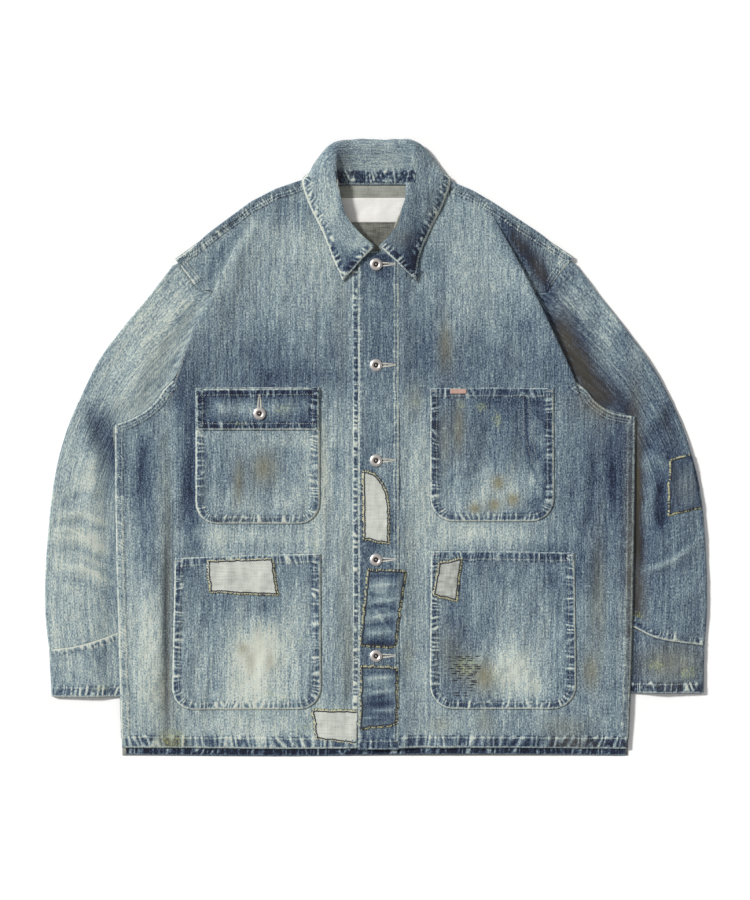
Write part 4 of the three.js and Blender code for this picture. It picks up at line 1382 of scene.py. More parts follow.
@dataclass
class Sleeve:
    """One sleeve with its cuff: a flattened tube whose inner edge is tucked under the body."""

    name: str
    outer: tuple[Point, ...]
    inner: tuple[Point, ...]
    cuff_seam: tuple[Point, ...]
    cuff_end: tuple[Point, ...]
    wear: Wear
    cuff_wear: Wear
    volume: float = 3.2
    seed: int = 41
    top: Surface | None = None
    cuff_top: Surface | None = None
    seam_line: Array = field(default_factory=lambda: np.zeros((0, 2)))
    arm_heights: Array = field(default_factory=lambda: np.zeros(0))

    ROWS = 132
    TIP_SHARE = 0.03
    SHARES = np.concatenate([
        [0, 0.003, 0.009, 0.018, 0.03], np.linspace(0.05, 0.95, 46), [0.97, 0.982, 0.991, 0.997, 1.0]])

    def plan(self, front: Front) -> Array:
        """The sleeve's net in the plan.

        Args:
            front: The front whose armhole it meets.

        Returns:
            Columns from the inner to the outer edge, and rows down the sleeve.
        """
        first = front.SIDE_ROWS * front.fine
        edge = front.edge[first:]
        samples = edge + left_of(edge) * (1 if self.outer[0][0] < 0 else -1) * SEAM_GAP
        inner = spaced(catmull(self.inner, 90), np.linspace(0, 1, self.ROWS + 1))
        outer = spaced(catmull(self.outer, 90), np.linspace(0, 1, self.ROWS + 1))
        line = np.vstack([inner[:1], samples, outer[:1]])
        share = np.concatenate([[0], np.linspace(self.TIP_SHARE, 1 - self.TIP_SHARE, len(samples)), [1]])
        s = self.SHARES
        arm = np.stack([np.interp(s, share, line[:, axis]) for axis in (0, 1)], 1)
        self.arm_heights = np.interp(s, share[1:-1], front.seam_heights[first:])
        cuff = spaced(catmull(self.cuff_seam, 40), s)
        v = np.linspace(0, 1, self.ROWS + 1)[None, :, None]
        straight = lerp(inner[None], outer[None], s[:, None, None])
        bow_arm = arm - lerp(arm[:1], arm[-1:], s[:, None])
        bow_cuff = cuff - lerp(cuff[:1], cuff[-1:], s[:, None])
        return straight + bow_arm[:, None] * (1 - v) ** 4 + bow_cuff[:, None] * v ** 2

    def ring(self, plan: Array, front: Front, wear: Wear, blend: bool) -> tuple[Surface, Surface]:
        """The tube round a net of the plan.

        Args:
            plan: The net.
            front: The front beside it.
            wear: Its wear.
            blend: Whether the first row meets the armhole.

        Returns:
            The whole tube and its upper side alone.
        """
        x, y = plan[..., 0], plan[..., 1]
        body = front.edge
        ring = np.vstack([body, [[0, body[-1, 1]], [0, body[0, 1]]]])
        clear = np.where(inside(ring, x, y), 0.0, distance_to(body, x, y)[0])
        near = smooth(2, 40, clear)
        s = self.SHARES[:, None]
        wide = np.linalg.norm(plan[-1] - plan[0], axis=1)[None]
        crown = SLEEVE_CROWN + self.volume * np.sin(math.pi * np.clip(s * 1.05, 0, 1)) ** 0.8
        full = SLEEVE_TUCKED_TOP + crown * near
        relief = wear.relief(x, y, self.seed) * smooth(2, 22, clear)
        top = np.maximum(full + relief, 3.4)
        if blend:
            rows = np.linalg.norm(plan - plan[:, :1], axis=2)
            lifted = lift(plan[:, :1, 0], plan[:, :1, 1])
            start = lerp(self.arm_heights[:, None], SLEEVE_TUCKED_TOP, lifted)
            top = lerp(start, top, smooth(0, 24, rows))
        low = 0.12 + 0.25 * np.abs(Drift(self.seed + 5, 60).at(x, y)) * near
        round_in = np.sqrt(np.clip(1 - (1 - np.clip(np.minimum(s, 1 - s) * wide / 3.4, 0, 1)) ** 2, 0, 1))
        middle = (top + low) / 2
        upper = middle + (top - middle) * round_in
        lower = middle - (middle - low) * round_in
        over = np.concatenate([plan, upper[..., None]], -1)
        under = np.concatenate([plan, lower[..., None]], -1)[-2:0:-1]
        whole = np.concatenate([over, under])
        run = along(plan[:, plan.shape[1] // 2])
        length = along(plan[len(plan) // 2])
        grain = np.stack(np.broadcast_arrays(run[:, None], -length[None]), -1)
        cloth = np.concatenate([grain, grain[-2:0:-1] + [400, 0]])
        return finished(whole, wear, cloth, closed=True), finished(over, wear, grain)

    def make(self, front: Front) -> tuple[Surface, Surface]:
        """Works out the sleeve and its cuff.

        Args:
            front: The front beside it.

        Returns:
            The sleeve's tube and the cuff's tube.
        """
        plan = self.plan(front)
        tube, self.top = self.ring(plan, front, self.wear, True)
        self.seam_line = plan[:, -1]
        end = spaced(np.array(self.cuff_end, float), self.SHARES)
        rows = np.linspace(0, 1, 26)[None, :, None]
        way = end - self.seam_line
        start = self.seam_line + way * (SEAM_GAP / np.linalg.norm(way, axis=1, keepdims=True))
        cuff = lerp(start[:, None], end[:, None], rows)
        cuff_tube, self.cuff_top = self.ring(cuff, front, self.cuff_wear, False)
        return tube, cuff_tube


# What lies on the body


def laid(plan: Array, ground: Ground, wear: Wear, gap: float, thickness: float, seed: int) -> Surface:
    """Cloth that lies on other cloth.

    Args:
        plan: Its net in the plan.
        ground: What it lies on.
        wear: Its wear.
        gap: The gap below it.
        thickness: Its own thickness.
        seed: The seed of its rumples.

    Returns:
        Its upper surface.
    """
    x, y = plan[..., 0], plan[..., 1]
    rim = np.vstack([plan[:, 0], plan[-1, 1:], plan[::-1, -1][1:], plan[0, ::-1][1:]])
    calm = smooth(0, 14, distance_to(rim[::3], x, y)[0])
    z = ground.height(x, y) + gap + thickness + wear.relief(x, y, seed) * calm
    return finished(np.concatenate([plan, z[..., None]], -1), wear)


@dataclass(frozen=True)
class PocketCut:
    """A patch pocket's outline: top corners, bottom corners and the radius of its round bottom."""

    top: tuple[Point, Point]
    bottom: tuple[Point, Point]
    radius: float

    def plan(self, columns: int = 62, rows: int = 66) -> Array:
        """The pocket's net.

        Args:
            columns: How many columns of cells it has.
            rows: About how many rows of cells it has.

        Returns:
            An array of [column, row, 2].
        """
        top, bottom = np.asarray(self.top, float), np.asarray(self.bottom, float)
        height = float(top[0, 1] - bottom[0, 1])
        turn = self.radius / height
        round_shares = turn * np.array([0, 0.02, 0.06, 0.13, 0.24, 0.38, 0.55, 0.76])
        shares = np.concatenate([round_shares, np.linspace(turn, 1, rows - 7)])
        depth = np.clip(self.radius - shares * height, 0, None)
        drawn = self.radius - np.sqrt(np.clip(self.radius ** 2 - depth ** 2, 0, None))
        left = lerp(bottom[0], top[0], shares[:, None])
        right = lerp(bottom[1], top[1], shares[:, None])
        width = np.linalg.norm(right - left, axis=1)
        u = np.linspace(0, 1, columns + 1)[:, None]
        place = (drawn + u * (width - 2 * drawn)) / width
        return lerp(left[None], right[None], place[..., None])

    def outline(self) -> Array:
        """The line from the top left corner down, round the bottom and up to the top right corner."""
        net = self.plan()
        return np.vstack([net[0, ::-1], net[1:, 0], net[-1, 1:]])


# Seams by kind

FELLED = Seam(
    width=10.5, height=1.0, period=3.8, ripple=0.2, base=-0.46, rung=0.6, edge=0.45, rows=(1.5, 5.5, 9.5), tail=2.5,
    drop=0.5, sharp=1.0, glow=0.42, mottle=0.12, vary=0.5)
ARMHOLE = Seam(
    width=10.5, height=0.9, period=3.6, ripple=0.16, base=-0.24, rung=0.3, edge=0.4, rows=(1.6, 5.4, 9.2), tail=2.5,
    drop=0.6, sharp=1.0, glow=0.36, mottle=0.12, vary=0.6)
SIDE_FELLED = Seam(
    width=10.5, height=0.9, period=3.6, ripple=0.14, base=-0.16, rung=0.26, edge=0.3, slant=0.5, rows=(1.8, 8.8),
    tail=2.5, drop=1.0, sharp=1.0, glow=0.32, mottle=0.12)
POCKET_EDGE = Seam(
    width=8.4, height=0.85, period=7.0, ripple=0.45, base=-0.34, rung=0.64, edge=0.66, rows=(1.7, 8.2), tail=6.5,
    drop=1.3, sharp=1.9, glow=0.2, mottle=0.16, vary=0.75)
POCKET_HEM = Seam(
    width=10.6, height=0.85, period=6.6, ripple=0.4, base=-0.3, rung=0.6, edge=0.46, rows=(10.2,), tail=5.5, drop=1.2,
    sharp=1.7, glow=0.28, mottle=0.12, vary=0.45)
FLAP_EDGE = Seam(
    width=8.4, height=0.8, period=6.4, ripple=0.4, base=-0.34, rung=0.6, edge=0.7, rows=(1.6, 8.0), tail=5.0,
    drop=1.3, sharp=1.9, glow=0.24, mottle=0.16, vary=0.75)
FRONT_HEM = Seam(
    width=13.4, height=1.1, period=11.6, ripple=0.8, base=-0.5, rung=0.7, edge=0.5, slant=0.3, rows=(12.8,), tail=6.0,
    drop=1.2, sharp=1.6, glow=0.5, mottle=0.14, vary=0.35)
BACK_HEM = Seam(
    width=13.0, height=1.0, period=11.2, ripple=0.7, base=-0.46, rung=0.6, edge=0.2, slant=-0.2, rows=(), tail=4.0,
    drop=1.1, sharp=2.2, mottle=0.16, vary=0.6)
BAND_EDGE = Seam(
    width=5.0, height=0.6, period=8.5, ripple=0.2, base=-0.06, rung=0.18, edge=0.5, rows=(1.5,), tail=4.0, drop=1.2,
    glow=0.2)
BAND_SEAM = Seam(
    width=5.6, height=0.5, period=8.0, ripple=0.2, base=-0.1, rung=0.16, edge=0.3, rows=(1.6, 5.2), tail=4.0,
    drop=0.3, glow=0.5, mottle=0.1, shade=0.0)
UNDER_EDGE = Seam(
    width=7.0, height=0.7, period=9.0, ripple=0.4, base=-0.42, rung=0.8, edge=0.3, rows=(6.8,), tail=3.0, drop=1.2,
    glow=0.4, mottle=0.16)
COLLAR_EDGE = Seam(
    width=6.4, height=0.7, period=8.5, ripple=0.55, base=-0.38, rung=0.66, edge=0.75, slant=0.5, rows=(1.8,),
    tail=8.0, drop=1.0, sharp=1.5, glow=0.2, mottle=0.2)
NECK_EDGE = Seam(
    width=15.0, height=0.5, period=8.5, ripple=0.5, base=-0.5, rung=0.66, edge=0.0, slant=0.5, rows=(1.0,), tail=6.0,
    drop=0.4, sharp=1.5, glow=0.0, mottle=0.3)
CUFF_SEAM = Seam(
    width=4.6, height=0.9, period=9.0, ripple=0.6, base=-0.24, rung=0.62, edge=0.8, rows=(1.4,), tail=9.0, drop=0.4,
    glow=0.34, shade=0.2)
CUFF_HEM = Seam(
    width=11.6, height=0.9, period=6.8, ripple=0.45, base=-0.38, rung=0.7, edge=0.5, slant=0.1, rows=(11.2,),
    tail=5.0, drop=1.0, sharp=1.8, glow=0.3, mottle=0.16)

# Wear, by piece

RIGHT_FRONT_WEAR = Wear(
    0.64,
    washes_and_shade=(
        (-112, 311, 39, 18, -0.12), (-146, 127, 16, 78, -0.14), (-84, 98, 18, 16, -0.12), (-271, 46, 13, 16, 0.12),
        (-302, 20, 16, 16, 0.1), (-53, -29, 12, 44, -0.12), (-294, -159, 26, 31, -0.12), (-211, 246, 13, 23, -0.1),
        (-331, -19, 10, 29, -0.2), (-255, -370, 91, 13, -0.05), (-271, -36, 10, 84, 0.2), (-302, -75, 14, 104, -0.16),
        (-240, -88, 13, 78, -0.2), (-209, -68, 16, 78, 0.14), (-53, 166, 16, 78, -0.14), (-184, -276, 195, 143, 0.12),
        (-331, -224, 10, 78, 0.1), (-86, 259, 44, 26, 0.12), (-99, 90, 52, 16, -0.12), (-73, -29, 13, 65, 0.16),
        (-138, 237, 117, 78, 0.06), (-60, 218, 39, 65, 0.08), (-151, 94, 124, 55, -0.2), (-242, 10, 21, 143, -0.22),
        (-297, -42, 18, 91, -0.19), (-66, -42, 44, 104, 0.16), (-297, -250, 26, 110, 0.24),
        (-266, -224, 12, 104, -0.14), (-41, -315, 26, 78, -0.04), (-164, -370, 117, 23, 0.14),
        (-333, -380, 26, 18, 0.1), (-210, 289, 39, 26, 0.12), (-266, 68, 26, 39, -0.1), (-60, -354, 39, 26, 0.12),
        (-177, -115, 91, 10, 0.16)),
    soil=(
        (-271, -198, 8, 130, 0.55), (-36, -270, 8, 72, 0.5), (-275, -328, 16, 52, 0.45), (-67, -42, 6, 65, 0.3),
        (-47, 166, 8, 78, 0.18), (-253, 153, 13, 39, 0.2), (-268, -383, 18, 13, 0.5), (-41, -146, 10, 52, 0.25)),
    specks=(
        (-266, -378, 26, 16, 1.1), (-93, -365, 23, 8, 0.7), (-112, -335, 16, 8, 0.6), (-210, -391, 39, 8, 0.3),
        (-79, -127, 8, 8, 0.8)),
    creases=(
        # The first two creases are painted shade and painted light along the right armhole's fold.
        Crease(((-171, 304), (-209, 241), (-229, 202)), 9, 0.0, -0.2),
        Crease(((-157, 301), (-193, 236), (-214, 189)), 7, 0.0, 0.12),
        Crease(((-270, 29), (-267, -94), (-272, -198), (-271, -315), (-272, -396)), 6, -3.2, -0.16),
        Crease(((-272, -146), (-274, -224), (-272, -315), (-274, -391)), 3.6, -1.0, -0.24),
        Crease(((-289, 23), (-293, -94), (-294, -198), (-292, -328)), 15, 2.6, 0.04),
        Crease(((-267, 98), (-271, 62), (-267, -3)), 12, -1.6, -0.05),
        Crease(((-305, 36), (-304, -3), (-309, -68)), 6, -1.6, -0.2),
        Crease(((-242, 64), (-241, -3), (-248, -81), (-255, -120)), 6, -1.4, -0.14),
        Crease(((-37, -185), (-38, -263), (-34, -335)), 9, -1.8, -0.06),
        Crease(((-55, -185), (-57, -263), (-54, -335)), 12, 1.2),
        Crease(((-66, 36), (-60, -68), (-63, -146)), 10, -1.2, -0.02),
        Crease(((-229, 192), (-203, 140), (-210, 88)), 22, 1.5),
        Crease(((-164, 257), (-162, 166), (-149, 94)), 16, -1.0),
        Crease(((-99, 270), (-97, 192), (-105, 98)), 16, 1.0)),
    rumple=0.42)
LEFT_FRONT_WEAR = Wear(
    0.6,
    washes_and_shade=(
        (75, 246, 18, 26, -0.18), (166, 307, 16, 10, -0.16), (197, 163, 18, 23, -0.12), (166, 194, 16, 18, -0.1),
        (41, 62, 10, 23, 0.13), (77, -109, 16, 12, -0.14), (228, -110, 16, 10, -0.12), (262, -162, 8, 26, -0.1),
        # (331, -185) is painted shade on the side seam strip.
        (41, -224, 10, 29, 0.13), (322, -162, 8, 26, -0.12), (252, -370, 65, 12, -0.08), (331, -185, 8, 221, -0.24),
        (291, 57, 34, 16, -0.1), (41, 179, 18, 65, -0.12), (72, 127, 21, 60, -0.12), (70, -42, 18, 91, 0.14),
        # (197, 257) is painted shadow beside the armhole's fold.
        (119, -107, 52, 16, 0.1), (64, -263, 18, 130, 0.1), (197, 257, 21, 23, -0.16), (228, -132, 26, 10, -0.2),
        (322, -42, 16, 117, -0.22), (291, -40, 18, 78, -0.12), (161, -354, 117, 39, 0.06), (102, 237, 78, 91, 0.12),
        (187, 211, 39, 52, 0.08), (135, 107, 117, 52, -0.17), (44, 133, 21, 65, -0.06), (44, -29, 31, 117, 0.12),
        (154, -114, 78, 16, 0.22), (278, -29, 44, 117, -0.14), (271, -153, 39, 52, -0.12), (291, -250, 31, 65, 0.02),
        (83, -94, 39, 52, 0.08), (239, 153, 29, 78, -0.12), (239, -391, 91, 13, -0.14), (83, -380, 78, 18, 0.1),
        (50, -315, 31, 52, 0.06), (310, -3, 13, 78, -0.08)),
    soil=(
        # (187, 270) and (213, 233) tint the painted shadow beside the armhole's fold; (330, -198) tints the painted
        # shade on the side seam strip.
        (187, 270, 12, 18, 0.28), (213, 233, 13, 26, 0.32), (330, -198, 8, 221, 0.55), (293, 57, 36, 18, 0.5),
        (90, 133, 9, 34, 0.8), (24, 283, 10, 26, 0.3), (289, -198, 9, 78, 0.55), (278, -292, 10, 23, 0.9),
        (51, 62, 10, 21, 0.4), (83, -361, 13, 13, 0.5), (141, -357, 13, 21, 0.45), (245, -365, 29, 16, 0.5),
        (41, -270, 8, 23, 0.4), (291, 88, 13, 78, 0.25), (46, -146, 8, 78, 0.2), (258, -387, 31, 10, 0.3)),
    specks=((51, 59, 10, 10, 0.7), (96, 16, 8, 10, 0.4), (304, -328, 13, 26, 0.3)),
    creases=(
        # Painted shadow that the armhole's fold casts on the front beside it.
        Crease(((159, 301), (190, 259), (215, 223), (232, 194)), 12, 0.0, -0.62),
        Crease(((280, 29), (283, -29), (275, -120)), 6, -1.5, -0.14),
        Crease(((300, 16), (306, -42), (305, -94)), 5, -1.2, -0.12),
        Crease(((289, -127), (291, -198), (287, -270)), 9, -2.6, -0.08),
        Crease(((306, -120), (307, -198), (305, -276)), 10, 1.4),
        Crease(((270, -127), (268, -198), (270, -263)), 12, 1.2, 0.03),
        Crease(((304, 29), (306, -29), (296, -107)), 9, -1.4, -0.04),
        Crease(((319, 10), (320, -68), (317, -146)), 7, 1.2),
        Crease(((42, 36), (38, -68), (44, -198), (41, -328)), 9, -1.2, -0.03),
        Crease(((58, 23), (57, -120)), 11, 1.0), Crease(((109, 257), (111, 166), (103, 94)), 15, 1.0),
        Crease(((161, 270), (176, 192), (187, 101)), 16, -1.0),
        Crease(((239, 62), (246, -29), (241, -120)), 12, 1.2)),
    rumple=0.42)
BACK_WEAR = Wear(
    0.5,
    washes_and_shade=((5, 276, 26, 32, -0.3), (-3, -400, 338, 18, -0.2), (-164, -3, 117, 195, 0.1)),
    rumple=0.5)
# The right sleeve and cuff have a paler base tone and the left ones a darker one, partly from fading and partly as
# painted light and painted shade for the key light from the wearer's right.
RIGHT_SLEEVE_WEAR = Wear(
    0.74,
    washes_and_shade=(
        # (-343, 2), (-354, 31), (-336, -19) and (-365, 20) are painted shade by the body's edge at the armpit.
        (-362, 20, 13, 18, 0.14), (-365, -211, 16, 16, -0.14), (-396, -79, 18, 10, -0.1), (-333, 75, 16, 13, -0.08),
        (-343, 2, 12, 34, -0.3), (-354, 31, 13, 18, -0.16), (-385, -185, 39, 34, -0.06), (-411, 10, 18, 39, -0.05),
        (-362, -153, 17, 81, 0.2), (-336, -19, 10, 29, -0.3), (-372, -29, 26, 29, 0.14), (-281, 159, 34, 52, 0.16),
        (-323, 62, 31, 78, 0.1), (-365, 20, 18, 34, -0.38), (-354, -29, 13, 31, -0.18), (-344, -146, 16, 78, -0.1),
        (-398, -120, 34, 104, 0.12), (-411, -250, 26, 39, 0.08), (-223, 224, 18, 26, -0.1), (-294, 88, 26, 39, -0.04),
        (-261, 140, 18, 34, -0.06)),
    soil=((-398, -114, 13, 39, 0.25), (-363, 23, 13, 52, 0.08), (-294, 140, 18, 65, 0.15)),
    specks=((-411, -94, 13, 26, 0.3),),
    creases=(
        # This trough's tone adds painted shade to the V-shaped fold at the armpit.
        Crease(((-336, -6), (-354, 10), (-367, 31), (-375, 59)), 9, -3.4, -0.12),
        Crease(((-349, -29), (-370, -6), (-385, 23)), 10, 2.2, 0.05),
        Crease(((-422, -89), (-385, -84), (-344, -102)), 4, 1.4, 0.16),
        Crease(((-422, -99), (-383, -97), (-341, -115)), 4, -1.4, -0.16),
        Crease(((-424, -118), (-383, -118), (-341, -138)), 4, 1.4, 0.14),
        Crease(((-424, -109), (-398, -106), (-359, -122)), 3, 0.8, 0.1),
        Crease(((-424, -132), (-383, -133), (-341, -154)), 4, -1.3, -0.15),
        Crease(((-398, -146), (-365, -154), (-341, -170)), 3, -0.8, -0.1),
        Crease(((-424, -151), (-380, -157), (-339, -180)), 4, 1.4, 0.18),
        Crease(((-422, -167), (-380, -176), (-341, -198)), 5, -1.0, -0.12),
        Crease(((-411, -71), (-380, -60), (-349, -68)), 5, -1.2, -0.14),
        Crease(((-380, -42), (-362, -68), (-370, -107)), 9, 1.3, 0.05),
        Crease(((-349, -42), (-344, -146), (-349, -224)), 9, -1.2, -0.05),
        Crease(((-255, 192), (-294, 114), (-323, 49)), 15, 1.2),
        Crease(((-294, 192), (-339, 101), (-359, 49)), 13, -0.9),
        Crease(((-411, -198), (-372, -206), (-344, -227)), 8, 0.7, 0.05)),
    rumple=0.4)
LEFT_SLEEVE_WEAR = Wear(
    0.46,
    washes_and_shade=(
        # (340, -29), (340, -123), (339, -211) and (332, 10) are painted shade that the body's edge casts on the sleeve;
        # (291, 62) and (223, 192) are painted shadow of the armhole's fold.
        (384, -14, 18, 10, -0.1), (418, -32, 10, 21, -0.1), (352, -28, 12, 9, 0.16), (350, -94, 10, 16, 0.14),
        (343, 127, 26, 39, 0.08), (304, 163, 16, 23, 0.06), (322, 150, 16, 21, -0.16), (353, 101, 16, 18, -0.12),
        (369, -37, 34, 21, -0.16), (343, -66, 10, 23, -0.14), (322, 51, 18, 21, -0.22), (340, -29, 6, 18, -0.3),
        (340, -123, 8, 29, -0.3), (358, -63, 16, 21, 0.14), (374, -84, 6, 26, -0.22), (380, 31, 8, 29, -0.12),
        (339, -211, 5, 130, -0.3), (270, 184, 18, 29, 0.22), (294, 137, 16, 44, 0.18), (384, 3, 21, 47, -0.12),
        (327, 133, 10, 18, -0.1), (291, 231, 31, 39, 0.16), (319, 166, 26, 44, 0.18), (291, 62, 23, 21, -0.2),
        (332, 10, 13, 52, -0.3), (369, 23, 31, 47, -0.03), (408, -146, 26, 78, 0.02), (356, -120, 26, 39, -0.1),
        (343, -224, 16, 78, -0.06), (362, 120, 26, 39, 0.1), (223, 192, 12, 29, -0.2), (384, -250, 39, 26, 0.04)),
    soil=(
        # (244, 146), (270, 98) and (293, 67) tint the painted shadow of the armhole's fold; (337, -29) and (343, -198)
        # tint the painted shade by the body's edge.
        (244, 146, 17, 47, 0.42), (270, 98, 21, 34, 0.36), (293, 67, 26, 21, 0.28), (337, -29, 10, 117, 0.6),
        (379, 29, 12, 31, 0.12), (343, -198, 10, 52, 0.4)),
    specks=((339, -224, 9, 12, 1.2), (421, -198, 10, 52, 0.15)),
    creases=(
        # Painted shade by the body's edge.
        Crease(((339, -27), (341, -68), (335, -127)), 5, -0.8, -0.34),
        Crease(((371, -42), (362, -75), (367, -105)), 6, -1.0, -0.3),
        # Painted shadow that the armhole's fold casts on the sleeve.
        Crease(((233, 176), (254, 133), (275, 88), (306, 54)), 21, 0.0, -0.56),
        Crease(((339, -6), (356, 10), (376, 31), (389, 57)), 9, -3.0, -0.12),
        Crease(((337, -24), (361, -14), (379, -24), (383, -45)), 6, 3.0, 0.14),
        Crease(((339, -6), (358, 1), (376, -3)), 5, -1.6, -0.12),
        Crease(((343, -42), (358, -68), (363, -94)), 10, 1.8, 0.08),
        Crease(((376, -34), (369, -68), (371, -107)), 6, -3.0, -0.16),
        Crease(((337, -75), (353, -66), (366, -53)), 5, -1.4, -0.1),
        Crease(((340, -84), (353, -107), (348, -133)), 8, -1.8, -0.08),
        Crease(((343, -163), (382, -149), (421, -120)), 4, 1.6, 0.26),
        Crease(((343, -179), (384, -164), (423, -141)), 7, -0.8, -0.04),
        Crease(((337, 23), (340, -94), (339, -250)), 9, -1.8, -0.08),
        Crease(((291, 241), (343, 153), (379, 67)), 14, 1.2, 0.04),
        Crease(((271, 205), (304, 127), (343, 62)), 13, -1.0),
        Crease(((395, -172), (400, -224), (397, -250)), 10, 0.8)),
    rumple=0.4)
RIGHT_CUFF_WEAR = Wear(
    0.7,
    washes_and_shade=((-393, -266, 21, 10, 0.14), (-379, -283, 39, 21, 0.04), (-359, -270, 18, 13, -0.1)),
    specks=((-359, -313, 18, 8, 0.8), (-411, -318, 18, 5, 0.4)),
    creases=tuple(
        Crease(((x, -262 + 0.09 * (x + 426)), (x + 2, -282 + 0.09 * (x + 426))), 2.6, -0.5, -0.12)
        for x in range(-418, -300, 13)),
    rumple=0.3)
LEFT_CUFF_WEAR = Wear(
    0.48,
    # (339, -289) is painted shade that the body's edge casts on the cuff.
    washes_and_shade=((339, -289, 5, 39, -0.3), (384, -287, 39, 18, 0.03), (349, -276, 13, 18, -0.08)),
    soil=((384, -281, 44, 26, 0.7),),
    specks=((362, -283, 13, 8, 1.2), (405, -293, 13, 9, 1.2), (356, -313, 26, 6, 0.4)),
    creases=tuple(
        Crease(((x, -222 - 0.29 * (x - 300)), (x + 1, -244 - 0.29 * (x - 300))), 2.6, -0.5, -0.12)
        for x in range(312, 424, 13)),
    rumple=0.3)
BAND_WEAR = Wear(
    0.44,
    washes_and_shade=(
        (10, 241, 13, 18, -0.2), (10, -137, 13, 10, 0.1), (-19, 88, 8, 91, 0.12), (12, 10, 13, 78, 0.16),
        (-1, 133, 16, 16, -0.06), (-1, 241, 16, 18, -0.12), (-1, 166, 13, 52, 0.04), (-1, 49, 13, 39, 0.06),
        (2, -127, 18, 10, -0.08), (2, -380, 18, 13, -0.12)),
    creases=(
        Crease(((-14, 192), (12, 184)), 4, 0.5, 0.08), Crease(((-14, 10), (15, 2)), 4, -0.6, -0.08),
        Crease(((-16, 46), (15, 57)), 4, 0.5, 0.07)),
    rumple=0.3)
RIGHT_CHEST_WEAR = Wear(
    0.57,
    washes_and_shade=(
        (-99, 10, 26, 10, 0.1), (-211, -42, 13, 29, 0.13), (-146, -58, 16, 18, -0.14), (-164, 10, 72, 18, 0.16),
        (-84, -23, 13, 52, 0.14), (-112, -68, 52, 34, 0.16), (-177, -75, 65, 16, 0.12), (-214, -29, 18, 52, -0.08),
        (-164, 10, 78, 16, -0.02), (-92, -29, 16, 52, 0.08)),
    soil=((-146, -27, 16, 22, 0.95), (-179, -45, 8, 31, 0.8), (-177, -94, 52, 5, 0.2)),
    specks=((-164, -84, 52, 6, 0.35),),
    creases=(Crease(((-164, 10), (-162, -42), (-168, -81)), 12, 0.8), Crease(((-119, 10), (-120, -55)), 10, -0.7)),
    rumple=0.4)
FLAP_WEAR = Wear(
    0.3,
    washes_and_shade=(
        (-162, 49, 29, 13, 0.12), (-99, 27, 26, 8, 0.14), (-209, 27, 10, 8, -0.12), (-188, 50, 31, 10, 0.3),
        (-112, 51, 21, 9, 0.24), (-149, 46, 16, 10, 0.2), (-224, 55, 9, 18, -0.05)),
    specks=((-123, 49, 18, 13, 0.8), (-177, 31, 18, 5, 0.8)),
    creases=(
        Crease(((-209, 62), (-198, 44)), 3.5, 0.5, 0.2), Crease(((-97, 64), (-89, 49)), 3.5, 0.5, 0.2),
        Crease(((-136, 59), (-129, 41)), 3, 0.4, 0.16)),
    rumple=0.35)
LEFT_CHEST_WEAR = Wear(
    0.46,
    washes_and_shade=(
        (207, 59, 16, 6, -0.2), (210, 44, 9, 9, -0.14), (203, -1, 5, 6, -0.26), (213, 10, 6, 9, 0.14),
        (219, 28, 5, 8, -0.2), (211, -12, 6, 6, -0.2), (207, 29, 5, 6, 0.14), (216, -29, 6, 8, -0.2),
        (209, -29, 5, 6, 0.16), (220, -50, 6, 9, -0.22), (203, -44, 6, 8, 0.12), (213, -68, 8, 6, -0.2),
        (148, 60, 39, 5, -0.1), (75, 62, 8, 26, -0.12), (197, 59, 23, 21, -0.14), (166, 49, 18, 16, -0.1),
        (200, -79, 18, 13, -0.1), (122, -79, 34, 21, 0.14), (89, -29, 10, 65, 0.06), (161, -55, 44, 34, 0.36),
        (102, -68, 21, 26, 0.12), (122, 36, 52, 18, -0.05), (187, 10, 18, 26, -0.06)),
    soil=(
        (107, 25, 8, 34, 0.8), (158, -46, 8, 9, 1.5), (128, -79, 8, 6, 1.5), (153, -75, 8, 8, 1.5),
        (177, -68, 9, 8, 1.4), (88, 10, 8, 34, 0.5)),
    specks=((137, 53, 10, 8, 1.1), (157, 36, 8, 13, 1.1), (110, 55, 9, 6, 1.0), (187, 68, 26, 5, 0.5)),
    creases=(
        Crease(((194, 59), (196, 7), (200, -19), (210, -40), (218, -58)), 2.4, -0.25, -0.27),
        Crease(((200, 59), (201, 7), (206, -19)), 1.8, 0.2, 0.12),
        Crease(((122, 36), (124, -42), (119, -81)), 11, 0.8), Crease(((148, 36), (145, -29)), 8, -0.6)),
    rumple=0.4)
RIGHT_LOWER_WEAR = Wear(
    0.57,
    washes_and_shade=(
        (-84, -162, 10, 21, -0.14), (-146, -211, 18, 16, -0.18), (-209, -302, 13, 29, -0.15), (-84, -263, 8, 21, 0.1),
        (-242, -162, 10, 18, -0.12), (-184, -296, 44, 47, 0.24), (-240, -315, 16, 26, 0.1), (-99, -198, 26, 52, 0.06),
        (-177, -250, 91, 78, 0.07), (-149, -270, 29, 52, 0.52), (-164, -328, 65, 18, 0.2),
        (-190, -198, 52, 29, -0.06), (-235, -250, 13, 65, 0.06), (-105, -250, 18, 65, 0.18),
        (-242, -179, 18, 39, -0.04)),
    soil=((-174, -261, 6, 8, 0.9), (-164, -279, 6, 16, 0.6), (-138, -279, 5, 12, 0.6), (-151, -250, 31, 39, 0.1)),
    specks=((-142, -318, 10, 8, 0.8), (-125, -326, 18, 6, 0.7), (-99, -252, 6, 6, 0.9)),
    creases=(
        Crease(((-197, -198), (-193, -263), (-198, -322)), 14, 0.9),
        Crease(((-112, -185), (-107, -263), (-112, -315)), 12, -0.8)),
    rumple=0.4)
